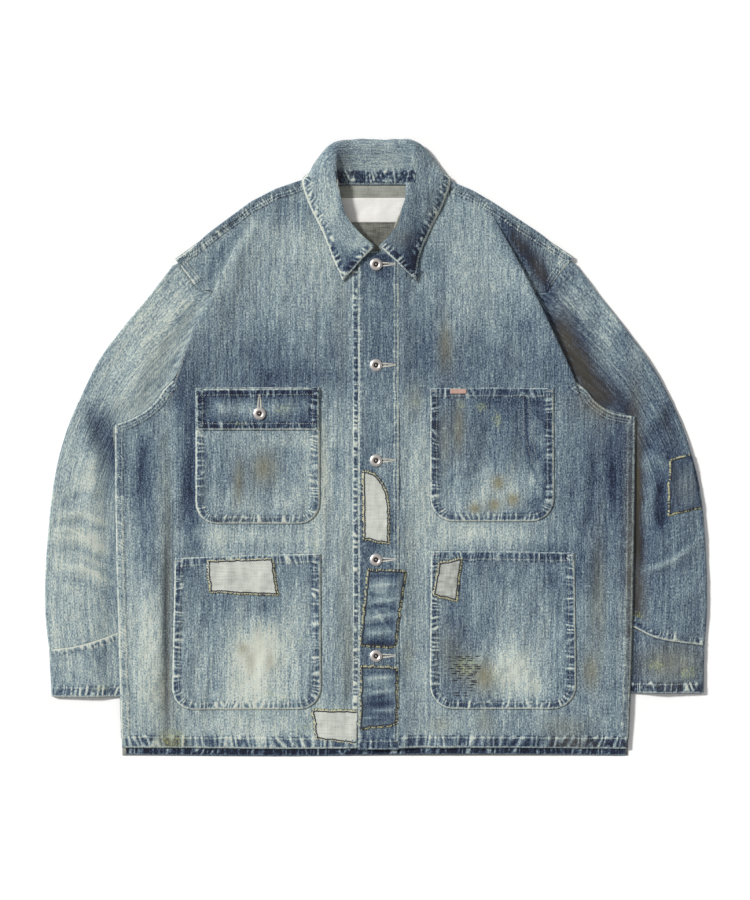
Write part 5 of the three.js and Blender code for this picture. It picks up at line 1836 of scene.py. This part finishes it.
LEFT_LOWER_WEAR = Wear(
    0.5,
    washes_and_shade=(
        (228, -162, 13, 21, -0.14), (228, -192, 10, 21, -0.08), (75, -224, 6, 26, -0.12), (180, -302, 34, 31, 0.1),
        (83, -250, 10, 78, 0.06), (228, -141, 26, 8, -0.16), (176, -287, 44, 47, 0.42), (103, -237, 16, 57, -0.08),
        (98, -172, 16, 26, -0.1), (219, -224, 23, 78, 0.1), (213, -315, 26, 21, 0.12), (161, -198, 39, 39, 0.1)),
    soil=((142, -298, 16, 20, 1.1), (111, -287, 21, 21, 0.5), (93, -257, 18, 26, 0.3)),
    specks=((116, -284, 18, 16, 1.3), (80, -162, 8, 10, 0.9)),
    creases=(Crease(((161, -172), (166, -250), (158, -315)), 13, 0.9), Crease(((122, -185), (124, -250)), 9, -0.7)),
    rumple=0.4)
COLLAR_WEAR = Wear(
    0.66,
    washes_and_shade=(
        (10, 359, 39, 8, 0.12), (-41, 315, 8, 18, -0.12), (-6, 387, 57, 13, -0.1), (-53, 353, 10, 16, -0.08),
        (-81, 322, 18, 21, -0.12), (-21, 257, 13, 10, 0.14), (44, 263, 10, 21, -0.1), (-41, 241, 13, 21, 0.16),
        (-67, 315, 23, 44, 0.06), (-33, 236, 16, 16, -0.16), (49, 241, 16, 21, -0.14), (41, 285, 9, 29, 0.08),
        (-2, 383, 39, 12, 0.08), (-6, 374, 44, 18, 0.1), (37, 270, 20, 44, -0.2), (70, 262, 16, 23, -0.12),
        (-63, 285, 14, 36, 0.1), (-76, 328, 18, 26, 0.06), (-32, 270, 16, 16, 0.08), (-53, 384, 10, 18, -0.1),
        (-80, 322, 21, 52, 0.06), (-32, 241, 21, 21, -0.32), (-54, 263, 13, 18, -0.06), (63, 263, 34, 47, -0.2),
        (46, 233, 18, 16, -0.2), (70, 322, 21, 39, -0.06), (-41, 374, 13, 23, -0.16), (-1, 354, 44, 8, -0.12),
        (24, 263, 16, 21, -0.08)),
    soil=((-41, 367, 13, 26, 0.3), (77, 289, 8, 26, 0.35), (31, 272, 16, 13, 0.3), (-8, 289, 10, 8, 0.3)),
    creases=(
        Crease(((-76, 289), (-66, 280)), 3, 0.7, 0.12), Crease(((-68, 263), (-55, 257)), 3, -0.6, -0.1),
        Crease(((62, 280), (75, 285)), 3, 0.7, 0.14), Crease(((33, 280), (31, 249)), 3.4, 0.6, 0.14),
        Crease(((49, 275), (46, 241)), 3.4, -0.6, -0.1), Crease(((-19, 275), (-32, 259)), 3.5, 0.5, 0.1),
        Crease(((-40, 387), (-6, 389), (36, 385)), 4, 0.6, 0.08),
        Crease(((-42, 374), (-6, 376), (38, 372)), 4, -0.6, -0.08)),
    rumple=0.32)
PALE_WEAR = Wear(0.5, rumple=0.25)
DARK_PATCH_WEAR = Wear(
    0.44,
    washes_and_shade=(
        (10, -292, 16, 10, 0.2), (10, -167, 13, 10, 0.12), (5, -188, 16, 13, 0.24), (-8, -206, 10, 13, 0.1),
        (-6, -231, 10, 13, 0.16), (-19, -172, 6, 21, -0.26), (15, -227, 8, 10, -0.1), (5, -255, 21, 6, -0.4),
        (2, -309, 16, 10, 0.18), (-14, -318, 8, 13, 0.1), (2, -333, 21, 5, -0.34), (2, -349, 18, 8, -0.2)),
    creases=(
        Crease(((-11, -167), (31, -166)), 3, -0.5, -0.32), Crease(((-14, -180), (31, -177)), 2.2, 0.6, 0.28),
        Crease(((-14, -190), (10, -193)), 2.4, -0.5, -0.24), Crease(((-8, -201), (31, -196)), 2.2, 0.5, 0.26),
        Crease(((-19, -209), (10, -205), (28, -211)), 2.6, -0.6, -0.3),
        Crease(((-16, -222), (28, -216)), 2.4, 0.6, 0.3), Crease(((-6, -206), (20, -242)), 2.2, 0.5, 0.28),
        Crease(((-19, -232), (25, -227)), 2.6, -0.6, -0.28), Crease(((-16, -242), (25, -239)), 2.2, 0.6, 0.3),
        Crease(((29, -164), (28, -257)), 2.0, 0.3, 0.34), Crease(((-16, -292), (28, -291)), 2.8, -0.5, -0.3),
        Crease(((-16, -301), (23, -298)), 2.2, 0.6, 0.3), Crease(((-19, -310), (10, -313)), 2.4, -0.5, -0.24),
        Crease(((-8, -319), (28, -315)), 2.2, 0.6, 0.28), Crease(((-16, -326), (12, -323)), 2.4, -0.5, -0.28),
        Crease(((-6, -343), (28, -340)), 2.4, 0.6, 0.34), Crease(((-19, -352), (10, -349)), 2.2, 0.5, 0.24)),
    rumple=0.35)


# The collar, the band and small pieces


@dataclass
class Collar:
    """Stand and fall in one, turned down: a net over stations from point to point round the neck."""

    wear: Wear
    centre_x: float = -0.6
    seed: int = 61
    surface: Surface | None = None

    ALONG = 150
    ACROSS = 44
    FLOOR = 0.75
    SPREAD = 9.0
    POINT_LIFT = 0.8
    ROLL_SHIFT = (0, 0, 1, -6, -9.4, -7.4, -8.8, -1.7, 0)
    STATIONS = (
        ((0, 342, 2.4), (0, 398, 13), (0, 400.5, 6.5), (0, 384, 0.9), (0, 353, 0.8)),
        ((-22, 342, 2.4), (-26, 398, 13.5), (-27, 400.5, 7), (-29, 385, 1), (-30, 354, 0.8)),
        ((-41, 342, 2.7), (-49, 393, 15.5), (-54, 396.5, 8.5), (-60, 384, 1.8), (-55, 356, 0.8)),
        ((-54, 340.5, 3.6), (-51.5, 370, 18), (-72, 377, 11), (-82, 365, 4), (-74, 358, 1)),
        ((-66, 334, 6.6), (-49, 345, 19), (-67, 351, 17), (-86, 354, 12), (-95, 350, 7.6)),
        ((-64, 318, 6.8), (-45, 322, 19), (-59, 321, 17), (-76, 319, 12), (-87, 317, 7.2)),
        ((-53, 297, 7), (-38, 300, 17.5), (-50, 294, 16), (-62, 287, 11.5), (-70, 282, 7.2)),
        ((-32, 273, 8.6), (-21, 278, 16), (-34, 268, 15), (-47, 256, 11.5), (-56, 246, 7.4)),
        ((-5, 258, 11.6), (-2, 261, 14.4), (-16, 247, 14), (-31, 230, 11.8), (-43, 217, 8.2)),
    )

    def net(self) -> Surface:
        """Works out the visible side.

        Returns:
            The surface.
        """
        right = np.array(self.STATIONS, float)
        left = right.copy()
        left[..., 0] *= -1
        left[:, 1, 0] += self.ROLL_SHIFT
        left[:, 2, 0] += 0.5 * np.array(self.ROLL_SHIFT)
        left[-1, :, 0] += self.SPREAD * np.linspace(0, 1, 5)
        left[-2:, 2:, 2] += self.POINT_LIFT
        stations = np.concatenate([right[::-1], left[1:]])
        lines = np.array([catmull(stations[:, line], self.ALONG) for line in range(5)])
        net = np.array([catmull(lines[:, k], self.ACROSS) for k in range(self.ALONG + 1)])
        net[..., 0] += self.centre_x
        net[..., 2] = np.maximum(net[..., 2], self.FLOOR) + 0.3
        x, y = net[..., 0], net[..., 1]
        run = np.linspace(0, 1, self.ACROSS + 1)[None]
        calm = smooth(0, 0.15, run)
        out = Surface(net, net[..., :2], net[..., 0], net[..., 0], net[..., 0]).normals()
        net = net + out * (self.wear.relief(x, y, self.seed) * calm)[..., None] * 0.9
        lengths = np.cumsum(np.linalg.norm(np.diff(net, axis=1, prepend=net[:, :1]), axis=2), axis=1)
        walk = np.broadcast_to(along(lines[0][:, :2] * 1.4)[:, None], lengths.shape)
        self.surface = finished(net, self.wear, np.stack([lengths + 600, walk], -1))
        return self.surface


@dataclass
class Band:
    """The applied front band that carries the buttonholes."""

    wear: Wear
    left: float = -23.4
    right: float = 27.5
    top: float = 252.0
    foot: float = -392.0

    def net(self) -> Surface:
        """Works out the band's visible side.

        Returns:
            The surface.
        """
        corners = ((self.left, self.foot), (self.right, self.foot), (self.right, self.top), (self.left, self.top))
        plan = four_corners(corners, 22, 210)
        x, y = plan[..., 0], plan[..., 1]
        z = front_under(x, y) + BAND_LIFT + DENIM
        z = z + self.wear.relief(x, y, 71) * smooth(0, 8, np.minimum(x - self.left, self.right - x))
        return finished(np.concatenate([plan, z[..., None]], -1), self.wear)


@dataclass(frozen=True)
class Patch:
    """A mending patch: its corners, or more points of its outline on the upper side, and how it is sewn on."""

    name: str
    corners: tuple[Point, Point, Point, Point]
    finish: Finish
    wear: Wear
    dark_side: float = 1.6
    frayed: float = 0.5
    top: tuple[Point, ...] = ()
    sides: tuple[int, ...] = (0, 1, 2, 3)

    def plan(self) -> Array:
        """The patch's net, with slightly uneven edges and where asked a bowed upper edge.

        Returns:
            An array of [column, row, 2].
        """
        plan = four_corners(self.corners, 30, 34)
        if self.top:
            upper = spaced(catmull((self.corners[3], *self.top, self.corners[2]), 60), np.linspace(0, 1, 31))
            plan = stretched(plan[0], plan[-1], plan[:, 0], upper)
        x, y = plan[..., 0], plan[..., 1]
        uneven = Drift(name_seed(self.name), 11)
        centre = plan.mean((0, 1))
        away = plan - centre
        across, down = (np.abs(np.linspace(-1, 1, count)) for count in plan.shape[:2])
        share = np.maximum(across[:, None], down[None]) ** 6
        away = away / np.maximum(np.linalg.norm(away, axis=2, keepdims=True), 1)
        return plan + away * (uneven.at(x, y) * self.frayed * share)[..., None]

    def lay(self, ground: Ground) -> Surface:
        """Lays the patch on what carries it."""
        return laid(self.plan(), ground, self.wear, PATCH_GAP, THIN_CLOTH, name_seed(self.name))

    def sew(self, sewing: Sewing, surface: Surface) -> None:
        """Sews it on round its edge.

        Args:
            sewing: What collects the stitches.
            surface: The patch as it lies.
        """
        net = surface.points[..., :2]
        above = Ground(surface, *sewing.carriers)
        edges = (net[:, 0], net[-1], net[::-1, -1], net[0, ::-1])
        for k in self.sides:
            sewing.zigzag(edges[k], 2.0, above, self.dark_side)


PATCHES = (
    Patch(
        "band_light_patch", ((-17, -119), (16, -125), (16.5, -78), (-17.5, -30)), Finish.LIGHT_PATCH, PALE_WEAR,
        top=((-1, -36), (11, -54))),
    Patch(
        "band_upper_patch", ((-21, -257), (24, -260), (38, -161), (-11, -159)), Finish.DARK_PATCH, DARK_PATCH_WEAR,
        frayed=0.8),
    Patch(
        "band_lower_patch", ((-21, -366), (26.5, -360), (26.5, -285), (-20, -285)), Finish.DARK_PATCH, DARK_PATCH_WEAR,
        frayed=0.8),
    Patch(
        "lower_pocket_patch", ((-217, -188), (-128, -192), (-135, -144), (-220, -147)), Finish.LIGHT_PATCH, PALE_WEAR),
    Patch(
        "hem_patch", ((-79, -379), (-25, -385), (-25, -342), (-83, -341)), Finish.LIGHT_PATCH, PALE_WEAR,
        sides=(0, 2, 3)),
    Patch(
        "small_patch", ((74, -192), (104, -200), (111, -144), (81, -150)), Finish.LIGHT_PATCH, Wear(0.34, rumple=0.3)),
)
ELBOW_WEAR = Wear(
    0.28,
    washes_and_shade=((400, -50, 12, 23, 0.2), (410, -24, 10, 13, 0.06)),
    soil=((400, -50, 18, 26, 0.25),),
    creases=(Crease(((408, -19), (410, -76)), 2.2, 0.4, 0.2), Crease(((391, -27), (392, -79)), 2.2, -0.4, -0.14)),
    rumple=0.35)
ELBOW = Patch(
    "elbow_patch", ((380, -88), (421.8, -78), (409.0, -9), (382, -16)), Finish.DARK_PATCH, ELBOW_WEAR,
    sides=(0, 2, 3), dark_side=0.9)


@dataclass(frozen=True)
class MetalButton:
    """A cast metal button with a round hollow and a dark core, turned up from a disc in given steps."""

    name: str
    x: float
    y: float
    turn: float
    radius: float = 8.5
    height: float = 2.6

    CORE = (0.0007, 0.0031)
    STEPS = (
        (0.0006, 0.0), (0.0009, 0.0009), (0.0016, 0.0003), (0.0011, -0.0006), (0.0011, -0.0009), (0.0006, -0.0001),
        (0.0009, 0.0006), (0.0007, 0.0002))

    def make(self, seat: float) -> bpy.types.Object:
        """Models the button.

        Args:
            seat: The height of the cloth below it.

        Returns:
            The object.
        """
        bpy.ops.object.select_all(action="DESELECT")
        bpy.ops.mesh.primitive_cylinder_add(
            vertices=40, radius=self.radius * MM * 0.94, depth=self.height * MM * 0.5,
            location=(self.x * MM, self.y * MM, (seat + self.height * 0.3) * MM), rotation=(0, 0, self.turn))
        piece = bpy.context.active_object
        piece.name = self.name
        bpy.ops.object.transform_apply(location=True, rotation=True, scale=True)
        self.press(piece, self.STEPS)
        bevel = piece.modifiers.new("round", "BEVEL")
        bevel.width, bevel.segments, bevel.limit_method = 0.00025, 2, "ANGLE"
        smoother = piece.modifiers.new("smooth", "SUBSURF")
        smoother.levels = smoother.render_levels = 1
        bpy.context.view_layer.objects.active = piece
        for modifier in ("round", "smooth"):
            bpy.ops.object.modifier_apply(modifier=modifier)
        piece.data.materials.clear()
        piece.data.materials.append(Finish.METAL.material)
        piece.data.materials.append(Finish.METAL_DARK.material)
        for face in piece.data.polygons:
            reach = math.hypot(face.center.x - self.x * MM, face.center.y - self.y * MM)
            face.material_index = int(self.CORE[0] < reach < self.CORE[1] and face.center.z > (seat + 1.0) * MM)
            face.use_smooth = True
        piece.data.update()
        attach(piece, BODY)
        LOG.info("%s: %d faces", self.name, len(piece.data.polygons))
        return piece

    def press(self, piece: bpy.types.Object, steps: Sequence[tuple[float, float]]) -> None:
        """Insets and raises the top face step by step.

        Args:
            piece: The disc.
            steps: How far each step goes in, and how far up.
        """
        bpy.ops.object.mode_set(mode="EDIT")
        bpy.ops.mesh.select_mode(type="FACE")
        bpy.ops.mesh.select_all(action="DESELECT")
        bpy.ops.object.mode_set(mode="OBJECT")
        top = max(piece.data.polygons, key=lambda face: (face.normal.z > 0.9, face.center.z))
        top.select = True
        bpy.ops.object.mode_set(mode="EDIT")
        for inwards, upwards in steps:
            bpy.ops.mesh.inset(thickness=inwards, depth=0)
            bpy.ops.transform.translate(value=(0, 0, upwards))
        bpy.ops.object.mode_set(mode="OBJECT")


# The whole jacket


def towards_body(line: Array) -> float:
    """Which side of a line the jacket's middle is on.

    Args:
        line: The line's points.

    Returns:
        1 where it is to the left, and -1 where it is to the right.
    """
    step = line[-1] - line[0]
    return 1.0 if float(np.array([-step[1], step[0]]) @ -line[len(line) // 2]) > 0 else -1.0


class Jacket:
    """Builds and dresses the jacket's pieces, from the lowest to the topmost."""

    BUTTON_X = -0.6
    BUTTON_YS = (238, 107, -17, -146, -271)
    FLAP_BUTTON = (-152, 44)
    POCKETS = {
        "right_chest_pocket": (PocketCut(((-235, 77), (-74, 78)), ((-235, -99), (-74, -99)), 27), RIGHT_CHEST_WEAR),
        "left_chest_pocket": (PocketCut(((70, 77), (230, 77)), ((70, -96), (231, -96)), 30), LEFT_CHEST_WEAR),
        "right_lower_pocket": (
            PocketCut(((-262, -144), (-73, -138)), ((-266, -341), (-72, -340)), 28), RIGHT_LOWER_WEAR),
        "left_lower_pocket": (PocketCut(((71, -135), (257, -137)), ((69, -340), (260, -340)), 32), LEFT_LOWER_WEAR),
    }
    PATCHED = {
        "lower_pocket_patch": "right_lower_pocket", "small_patch": "left_lower_pocket", "hem_patch": "right_front"}
    FLAP = ((-234, 23), (-75, 23), (-75, 77), (-234, 76))
    TAB = ((96, 70), (117, 70), (117, 76), (96, 76))
    LABEL = (-2.5, 309, 88, 32)
    PEN_ROWS = (191.0, 198.5)
    SHOULDER_SEAM_OUT = 5.6
    FLAP_SEED, LABEL_SEED, TAB_SEED = 81, 91, 93

    def __init__(self) -> None:
        """Starts with no pieces."""
        self.surfaces: dict[str, Surface] = {}

    def cloth(
        self, name: str, surface: Surface, flat: tuple[float, float], rests: Sequence[str],
        extras: Sequence[bpy.types.Object] = (), finishes: tuple[Finish, Finish] = (Finish.DENIM, Finish.DENIM_INSIDE),
        thickness: float = 1.0, area: float | None = None,
    ) -> bpy.types.Object:
        """Args:
            name: The node's name.
            surface: Its visible side.
            flat: The width and length that it is cut to, in metres; not used.
            rests: What it rests on; not used.
            extras: The seams and stitches on it; not used.
            finishes: Its two sides' finishes.
            thickness: The cloth's thickness in millimetres.
            area: The cut's area in square metres where it isn't a rectangle; not used.

        Returns:
            The object.
        """
        piece = surface.shell(f"{name}_cloth", thickness, *finishes)
        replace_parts(piece, name)
        self.surfaces[name] = surface
        return piece

    def build(self) -> None:
        """Builds everything."""
        self.build_body()
        self.build_sleeves()
        self.build_pockets()
        self.build_band()
        self.build_collar()
        self.build_small_pieces()

    def build_body(self) -> None:
        """Builds the fronts and the back with their seams and hems."""
        self.right = Front("right_front", RIGHT, RIGHT_FRONT_WEAR, seed=3)
        self.left = Front("left_front", LEFT, LEFT_FRONT_WEAR, seed=9)
        nets = {front.name: front.net() for front in (self.right, self.left)}
        back = Back(BACK_WEAR).net(self.right, self.left)
        self.back_ground = Ground(back)
        sewing = Sewing("back", BACK_WEAR, back)
        sewing.strip([(x, HEM_BACK_Y + 0.5 + 1.0 * math.sin(x / 90)) for x in np.linspace(-326, 324, 80)], BACK_HEM)
        self.cloth("back", back, (0.69, 0.79), (), sewing.make(), (Finish.DENIM_INSIDE, Finish.DENIM), area=0.47)
        for front, side in ((self.right, 1), (self.left, -1)):
            surface = nets[front.name]
            sewing = Sewing(front.name, front.wear, surface)
            rows = front.SIDE_ROWS * front.fine
            edge = front.edge
            bounds = (edge[0, 0] + 2 * side, 14.0 if side > 0 else 29.0)
            hem = [(x, HEM_FRONT_Y + 0.4 + 0.8 * math.sin(x / 70)) for x in np.linspace(*bounds, 60)]
            sewing.strip(hem, FRONT_HEM, side)
            sewing.strip(edge[3:rows + 2], SIDE_FELLED, -side)
            low = edge[rows + 2:][edge[rows + 2:, 1] < 88]
            sewing.strip(low, ARMHOLE, towards_body(low))
            arm = edge[rows:]
            high = arm[(arm[:, 1] > 211) & (np.arange(len(arm)) > len(arm) * 0.7)]
            sewing.strip(high, ARMHOLE, towards_body(high))
            shoulder = np.vstack([edge[-1:], np.array(front.half.shoulder)])
            lifted = Sewing(front.name, front.wear, surface, back)
            lifted.strip(shoulder + left_of(shoulder) * side * self.SHOULDER_SEAM_OUT, FELLED, -side)
            sewing.strips += lifted.strips
            for thread, groups in lifted.threads.items():
                sewing.threads.setdefault(thread, []).extend(groups)
            if side > 0:
                sewing.strip([(-31.0 + 0.4 * math.sin(y / 40), y) for y in np.linspace(248, -390, 60)], UNDER_EDGE)
            self.cloth(front.name, surface, (0.36, 0.77), ("back_cloth",), sewing.make(), area=0.22)

    def build_sleeves(self) -> None:
        """Builds the sleeves and cuffs with their seams, and the elbow patch."""
        right = Sleeve(
            "right",
            ((-266, 236), (-296, 197), (-331, 155), (-361, 114), (-382, 72), (-400, 31), (-413, -11), (-421, -53),
             (-427, -105), (-431, -165), (-431, -219), (-426, -265)),
            ((-341.6, 27), (-341.2, 3), (-332, -36), (-320, -107), (-307, -185), (-300, -226)),
            ((-300, -226), (-335, -242), (-387, -259), (-426, -265)), ((-294, -324), (-423, -324)),
            RIGHT_SLEEVE_WEAR, RIGHT_CUFF_WEAR)
        left = Sleeve(
            "left",
            ((260, 238), (291, 197), (324, 155), (354, 114), (378, 72), (397, 31), (411, -11), (421, -53),
             (427, -105), (430, -165), (430, -219), (427, -259)),
            ((337.6, 38), (337.4, 13), (330, -29), (318, -105), (306, -179), (300, -220)),
            ((300, -220), (336, -236), (365, -249), (427, -259)), ((294, -319), (426, -319)),
            LEFT_SLEEVE_WEAR, LEFT_CUFF_WEAR, seed=47)
        for sleeve, front in ((right, self.right), (left, self.left)):
            tube, cuff = sleeve.make(front)
            side = 1 if sleeve.name == "right" else -1
            sewing = Sewing(f"{sleeve.name}_cuff", sleeve.cuff_wear, sleeve.cuff_top, sleeve.top)
            trim = slice(3, -3)
            sewing.strip(sleeve.seam_line[trim] + [0, 1.4], CUFF_SEAM)
            sewing.strip(sleeve.cuff_top.points[:, -1, :2][trim], CUFF_HEM, -side)
            self.cloth(f"{sleeve.name}_cuff", cuff, (0.265, 0.08), (), sewing.make())
            self.cloth(f"{sleeve.name}_sleeve", tube, (0.3, 0.56), (), area=0.102)
            if sleeve.name == "left":
                patch = ELBOW.lay(Ground(sleeve.top))
                elbow = Sewing("elbow_patch", ELBOW.wear, sleeve.top)
                ELBOW.sew(elbow, patch)
                self.cloth(
                    "elbow_patch", patch, (0.046, 0.076), ("left_sleeve_cloth",), elbow.make(),
                    (Finish.DARK_PATCH, Finish.DARK_PATCH), 0.8)

    def build_pockets(self) -> None:
        """Builds the patch pockets, the flap, their seams and the mends on them."""
        for name, (cut, wear) in self.POCKETS.items():
            below = "right_front" if name.startswith("right") else "left_front"
            carrier = self.surfaces[below]
            surface = laid(cut.plan(), Ground(carrier), wear, LAY_GAP, DENIM, name_seed(name))
            sewing = Sewing(name, wear, surface, carrier)
            sewing.strip(resampled(cut.outline(), 4), POCKET_EDGE)
            (x1, y1), (x2, y2) = cut.top
            sewing.strip([(x2 - 0.5, y2), ((x1 + x2) / 2, (y1 + y2) / 2 + 1.0), (x1 + 0.5, y1)], POCKET_HEM)
            if name == "left_chest_pocket":
                for x in self.PEN_ROWS:
                    sewing.row(np.array([(x, 66.0), (x + 1, 20.0), (x + 14, -28.0)]), Finish.PALE_THREAD)
            if name == "left_lower_pocket":
                self.darn(sewing)
            for corner, way in ((cut.top[0], 1), (cut.top[1], -1)):
                base = np.array(corner) + np.array([way * 2.0, -3.0])
                bars = np.array([base + [way * k * 1.1, 0] for k in range(7)])
                sewing.stitches(bars, bars + [way * 0.3, -1.6], Finish.WHITE_THREAD, Ground(*sewing.strips), 0.45)
            width, height = abs(x2 - x1) / 1000, (cut.top[0][1] - cut.bottom[0][1]) / 1000
            self.cloth(name, surface, (width + 0.024, height + 0.03), (f"{below}_cloth",), sewing.make())
        pocket = self.surfaces["right_chest_pocket"]
        front = self.surfaces["right_front"]
        plan = four_corners(self.FLAP, 64, 24)
        surface = laid(plan, Ground(pocket, front), FLAP_WEAR, LAY_GAP, DENIM, self.FLAP_SEED)
        sewing = Sewing("right_chest_flap", FLAP_WEAR, surface)
        a, b, c, d = self.FLAP
        sewing.strip([d, a, b, c], FLAP_EDGE)
        sewing.strip([c, d], FLAP_EDGE)
        above = Ground(surface, *sewing.strips)
        x, y = self.FLAP_BUTTON
        sewing.buttonhole((x, y + 6), (x, y + 24), above)
        self.flap_seat = above.height_at(x, y)
        self.cloth("right_chest_flap", surface, (0.165, 0.066), ("right_chest_pocket_cloth",), sewing.make())

    def darn(self, sewing: Sewing) -> None:
        """Sews the rows of dark mending stitches on the left lower pocket.

        Args:
            sewing: What collects the stitches.
        """
        rng = np.random.default_rng(5)
        for k in range(17):
            y = -272 - k * 3.1 + rng.normal(0, 0.5)
            x1 = 96 + rng.normal(0, 5) + 0.5 * k
            x2 = 146 - abs(k - 4) * 1.3 + rng.normal(0, 5)
            line = np.array([(x1, y), ((x1 + x2) / 2, y + rng.normal(0, 0.8)), (x2, y + rng.normal(0, 1.2))])
            sewing.row(line, Finish.DARK_THREAD, None, 12.0, 0.96, 1.0)

    def build_band(self) -> None:
        """Builds the front band, its patches and its buttons."""
        band = Band(BAND_WEAR)
        surface = band.net()
        sewing = Sewing("front_band", BAND_WEAR, surface)
        sewing.strip([(band.left, y) for y in (band.top, band.foot)], BAND_EDGE)
        sewing.strip([(band.right + 1.3, y) for y in (band.foot, band.top)], BAND_SEAM)
        sewing.strip([(band.left, band.foot), (band.right, band.foot)], POCKET_HEM)
        carriers = (surface, *sewing.strips)
        above = Ground(*carriers)
        for y in self.BUTTON_YS:
            sewing.buttonhole((self.BUTTON_X + 7, y), (self.BUTTON_X + 25, y + 0.5), above)
        self.cloth("front_band", surface, (0.062, 0.66), ("left_front_cloth",), sewing.make())
        for patch in PATCHES:
            below = self.PATCHED.get(patch.name, "front_band")
            carriers_here = (
                (self.surfaces[below],) if patch.name in self.PATCHED else (*carriers, self.surfaces["left_front"]))
            lying = patch.lay(Ground(*carriers_here))
            mend = Sewing(patch.name, patch.wear, *carriers_here)
            patch.sew(mend, lying)
            xs, ys = zip(*patch.corners)
            flat = ((max(xs) - min(xs)) / 1000, (max(ys) - min(ys)) / 1000)
            self.cloth(patch.name, lying, flat, (f"{below}_cloth",), mend.make(), (patch.finish, patch.finish), 0.8)
        for k, y in enumerate(self.BUTTON_YS):
            seat = above.height_at(self.BUTTON_X, y)
            node = f"front_button_{k + 1}"
            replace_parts(MetalButton(f"{node}_metal", self.BUTTON_X, y, 0.7 * k).make(seat + 0.1), node)
        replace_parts(MetalButton("flap_button_metal", *self.FLAP_BUTTON, 0.3).make(self.flap_seat + 0.1), "flap_button")

    def build_collar(self) -> None:
        """Builds the collar with its edges."""
        collar = Collar(COLLAR_WEAR)
        surface = collar.net()
        sewing = Sewing("collar", COLLAR_WEAR, surface)
        p = surface.points[..., :2]
        half = collar.ALONG // 2
        right_edge = p[:int(half * 0.56), -1]
        left_edge = p[-int(half * 0.56):, -1]
        sewing.strip(np.vstack([right_edge[::-1], p[0, ::-1][1:-14]]), COLLAR_EDGE)
        sewing.strip(np.vstack([left_edge, p[-1, ::-1][1:-14]]), COLLAR_EDGE, -1.0)
        neck = p[int(half * 0.66):int(half * 1.34) + 1, 0] + [0, 0.7]
        sewing.strip(neck, NECK_EDGE)
        self.cloth("collar", surface, (0.44, 0.1), ("right_front_cloth", "left_front_cloth"), sewing.make(), area=0.034)

    def build_small_pieces(self) -> None:
        """Builds the bare neck label and the bare tab."""
        x, y, wide, high = self.LABEL
        low, top, start, stop = y - high / 2, y + high / 2, x - wide / 2, x + wide / 2
        plan = four_corners(((start, low), (stop, low), (stop, top), (start, top)), 44, 18)
        surface = laid(plan, self.back_ground, Wear(0.6, rumple=0.3), 0.35, THIN_CLOTH, self.LABEL_SEED)
        sewing = Sewing("neck_label", Wear(0.6), surface)
        for end in (start + 1.6, stop - 1.6):
            sewing.row(np.array([(end, low + 1), (end, top - 1)]), Finish.WHITE_THREAD)
        self.cloth(
            "neck_label", surface, (0.085, 0.032), ("back_cloth",), sewing.make(), (Finish.LABEL, Finish.LABEL), 0.7)
        pocket = Ground(self.surfaces["left_chest_pocket"])
        tab = laid(four_corners(self.TAB, 16, 8), pocket, Wear(0.55, rumple=0.1), 1.0, THIN_CLOTH, self.TAB_SEED)
        self.cloth(
            "pocket_tab", tab, (0.021, 0.012), ("left_chest_pocket_cloth",), (), (Finish.TAB, Finish.TAB), 0.8,
            area=0.000126)


# The studio


@dataclass(frozen=True)
class Studio:
    """A white floor, soft light from the upper left and a camera straight above."""

    span: float = 1.17
    lens: float = 100.0
    level: float = 0.008
    centre: Point = (-0.00195, -0.00325)
    sun: float = 3.4
    sun_width: float = 9.0
    sun_from: tuple[float, float, float] = (-0.78, 0.42, 0.72)
    sky: float = 0.39

    def make(self) -> None:
        """Sets the studio up."""
        bpy.ops.object.select_all(action="DESELECT")
        bpy.ops.mesh.primitive_plane_add(size=12, location=(0, 0, -0.0002))
        floor = bpy.context.active_object
        floor.name = "floor"
        n = Nodes("floor_paper")
        floor.data.materials.append(n.finish(Base_Color=(0.97, 0.97, 0.97, 1), Roughness=0.95, Specular_IOR_Level=0.1))
        lamp = bpy.data.lights.new("key", "SUN")
        lamp.energy, lamp.angle, lamp.color = self.sun, math.radians(self.sun_width), (1.0, 0.99, 0.97)
        key = bpy.data.objects.new("key", lamp)
        key.rotation_euler = Vector(self.sun_from).to_track_quat("Z", "Y").to_euler()
        bpy.context.scene.collection.objects.link(key)
        world = bpy.context.scene.world or bpy.data.worlds.new("studio")
        bpy.context.scene.world = world
        world.use_nodes = True
        background = world.node_tree.nodes.get("Background")
        background.inputs[0].default_value = (1.0, 1.0, 1.0, 1)
        background.inputs[1].default_value = self.sky
        bpy.context.scene.view_settings.view_transform = "Standard"
        camera = bpy.data.cameras.new("camera")
        camera.sensor_fit, camera.sensor_height, camera.lens = "VERTICAL", 36.0, self.lens
        eye = bpy.data.objects.new("camera", camera)
        eye.location = (*self.centre, self.span * self.lens / 36.0 + self.level)
        bpy.context.scene.collection.objects.link(eye)
        bpy.context.scene.camera = eye


def main() -> None:
    """Builds the jacket around the frame."""
    logging.basicConfig(level=logging.INFO, format="%(name)s: %(message)s")
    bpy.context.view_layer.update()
    Jacket().build()
    Studio().make()
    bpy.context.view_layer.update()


if __name__ == "__main__":
    main()
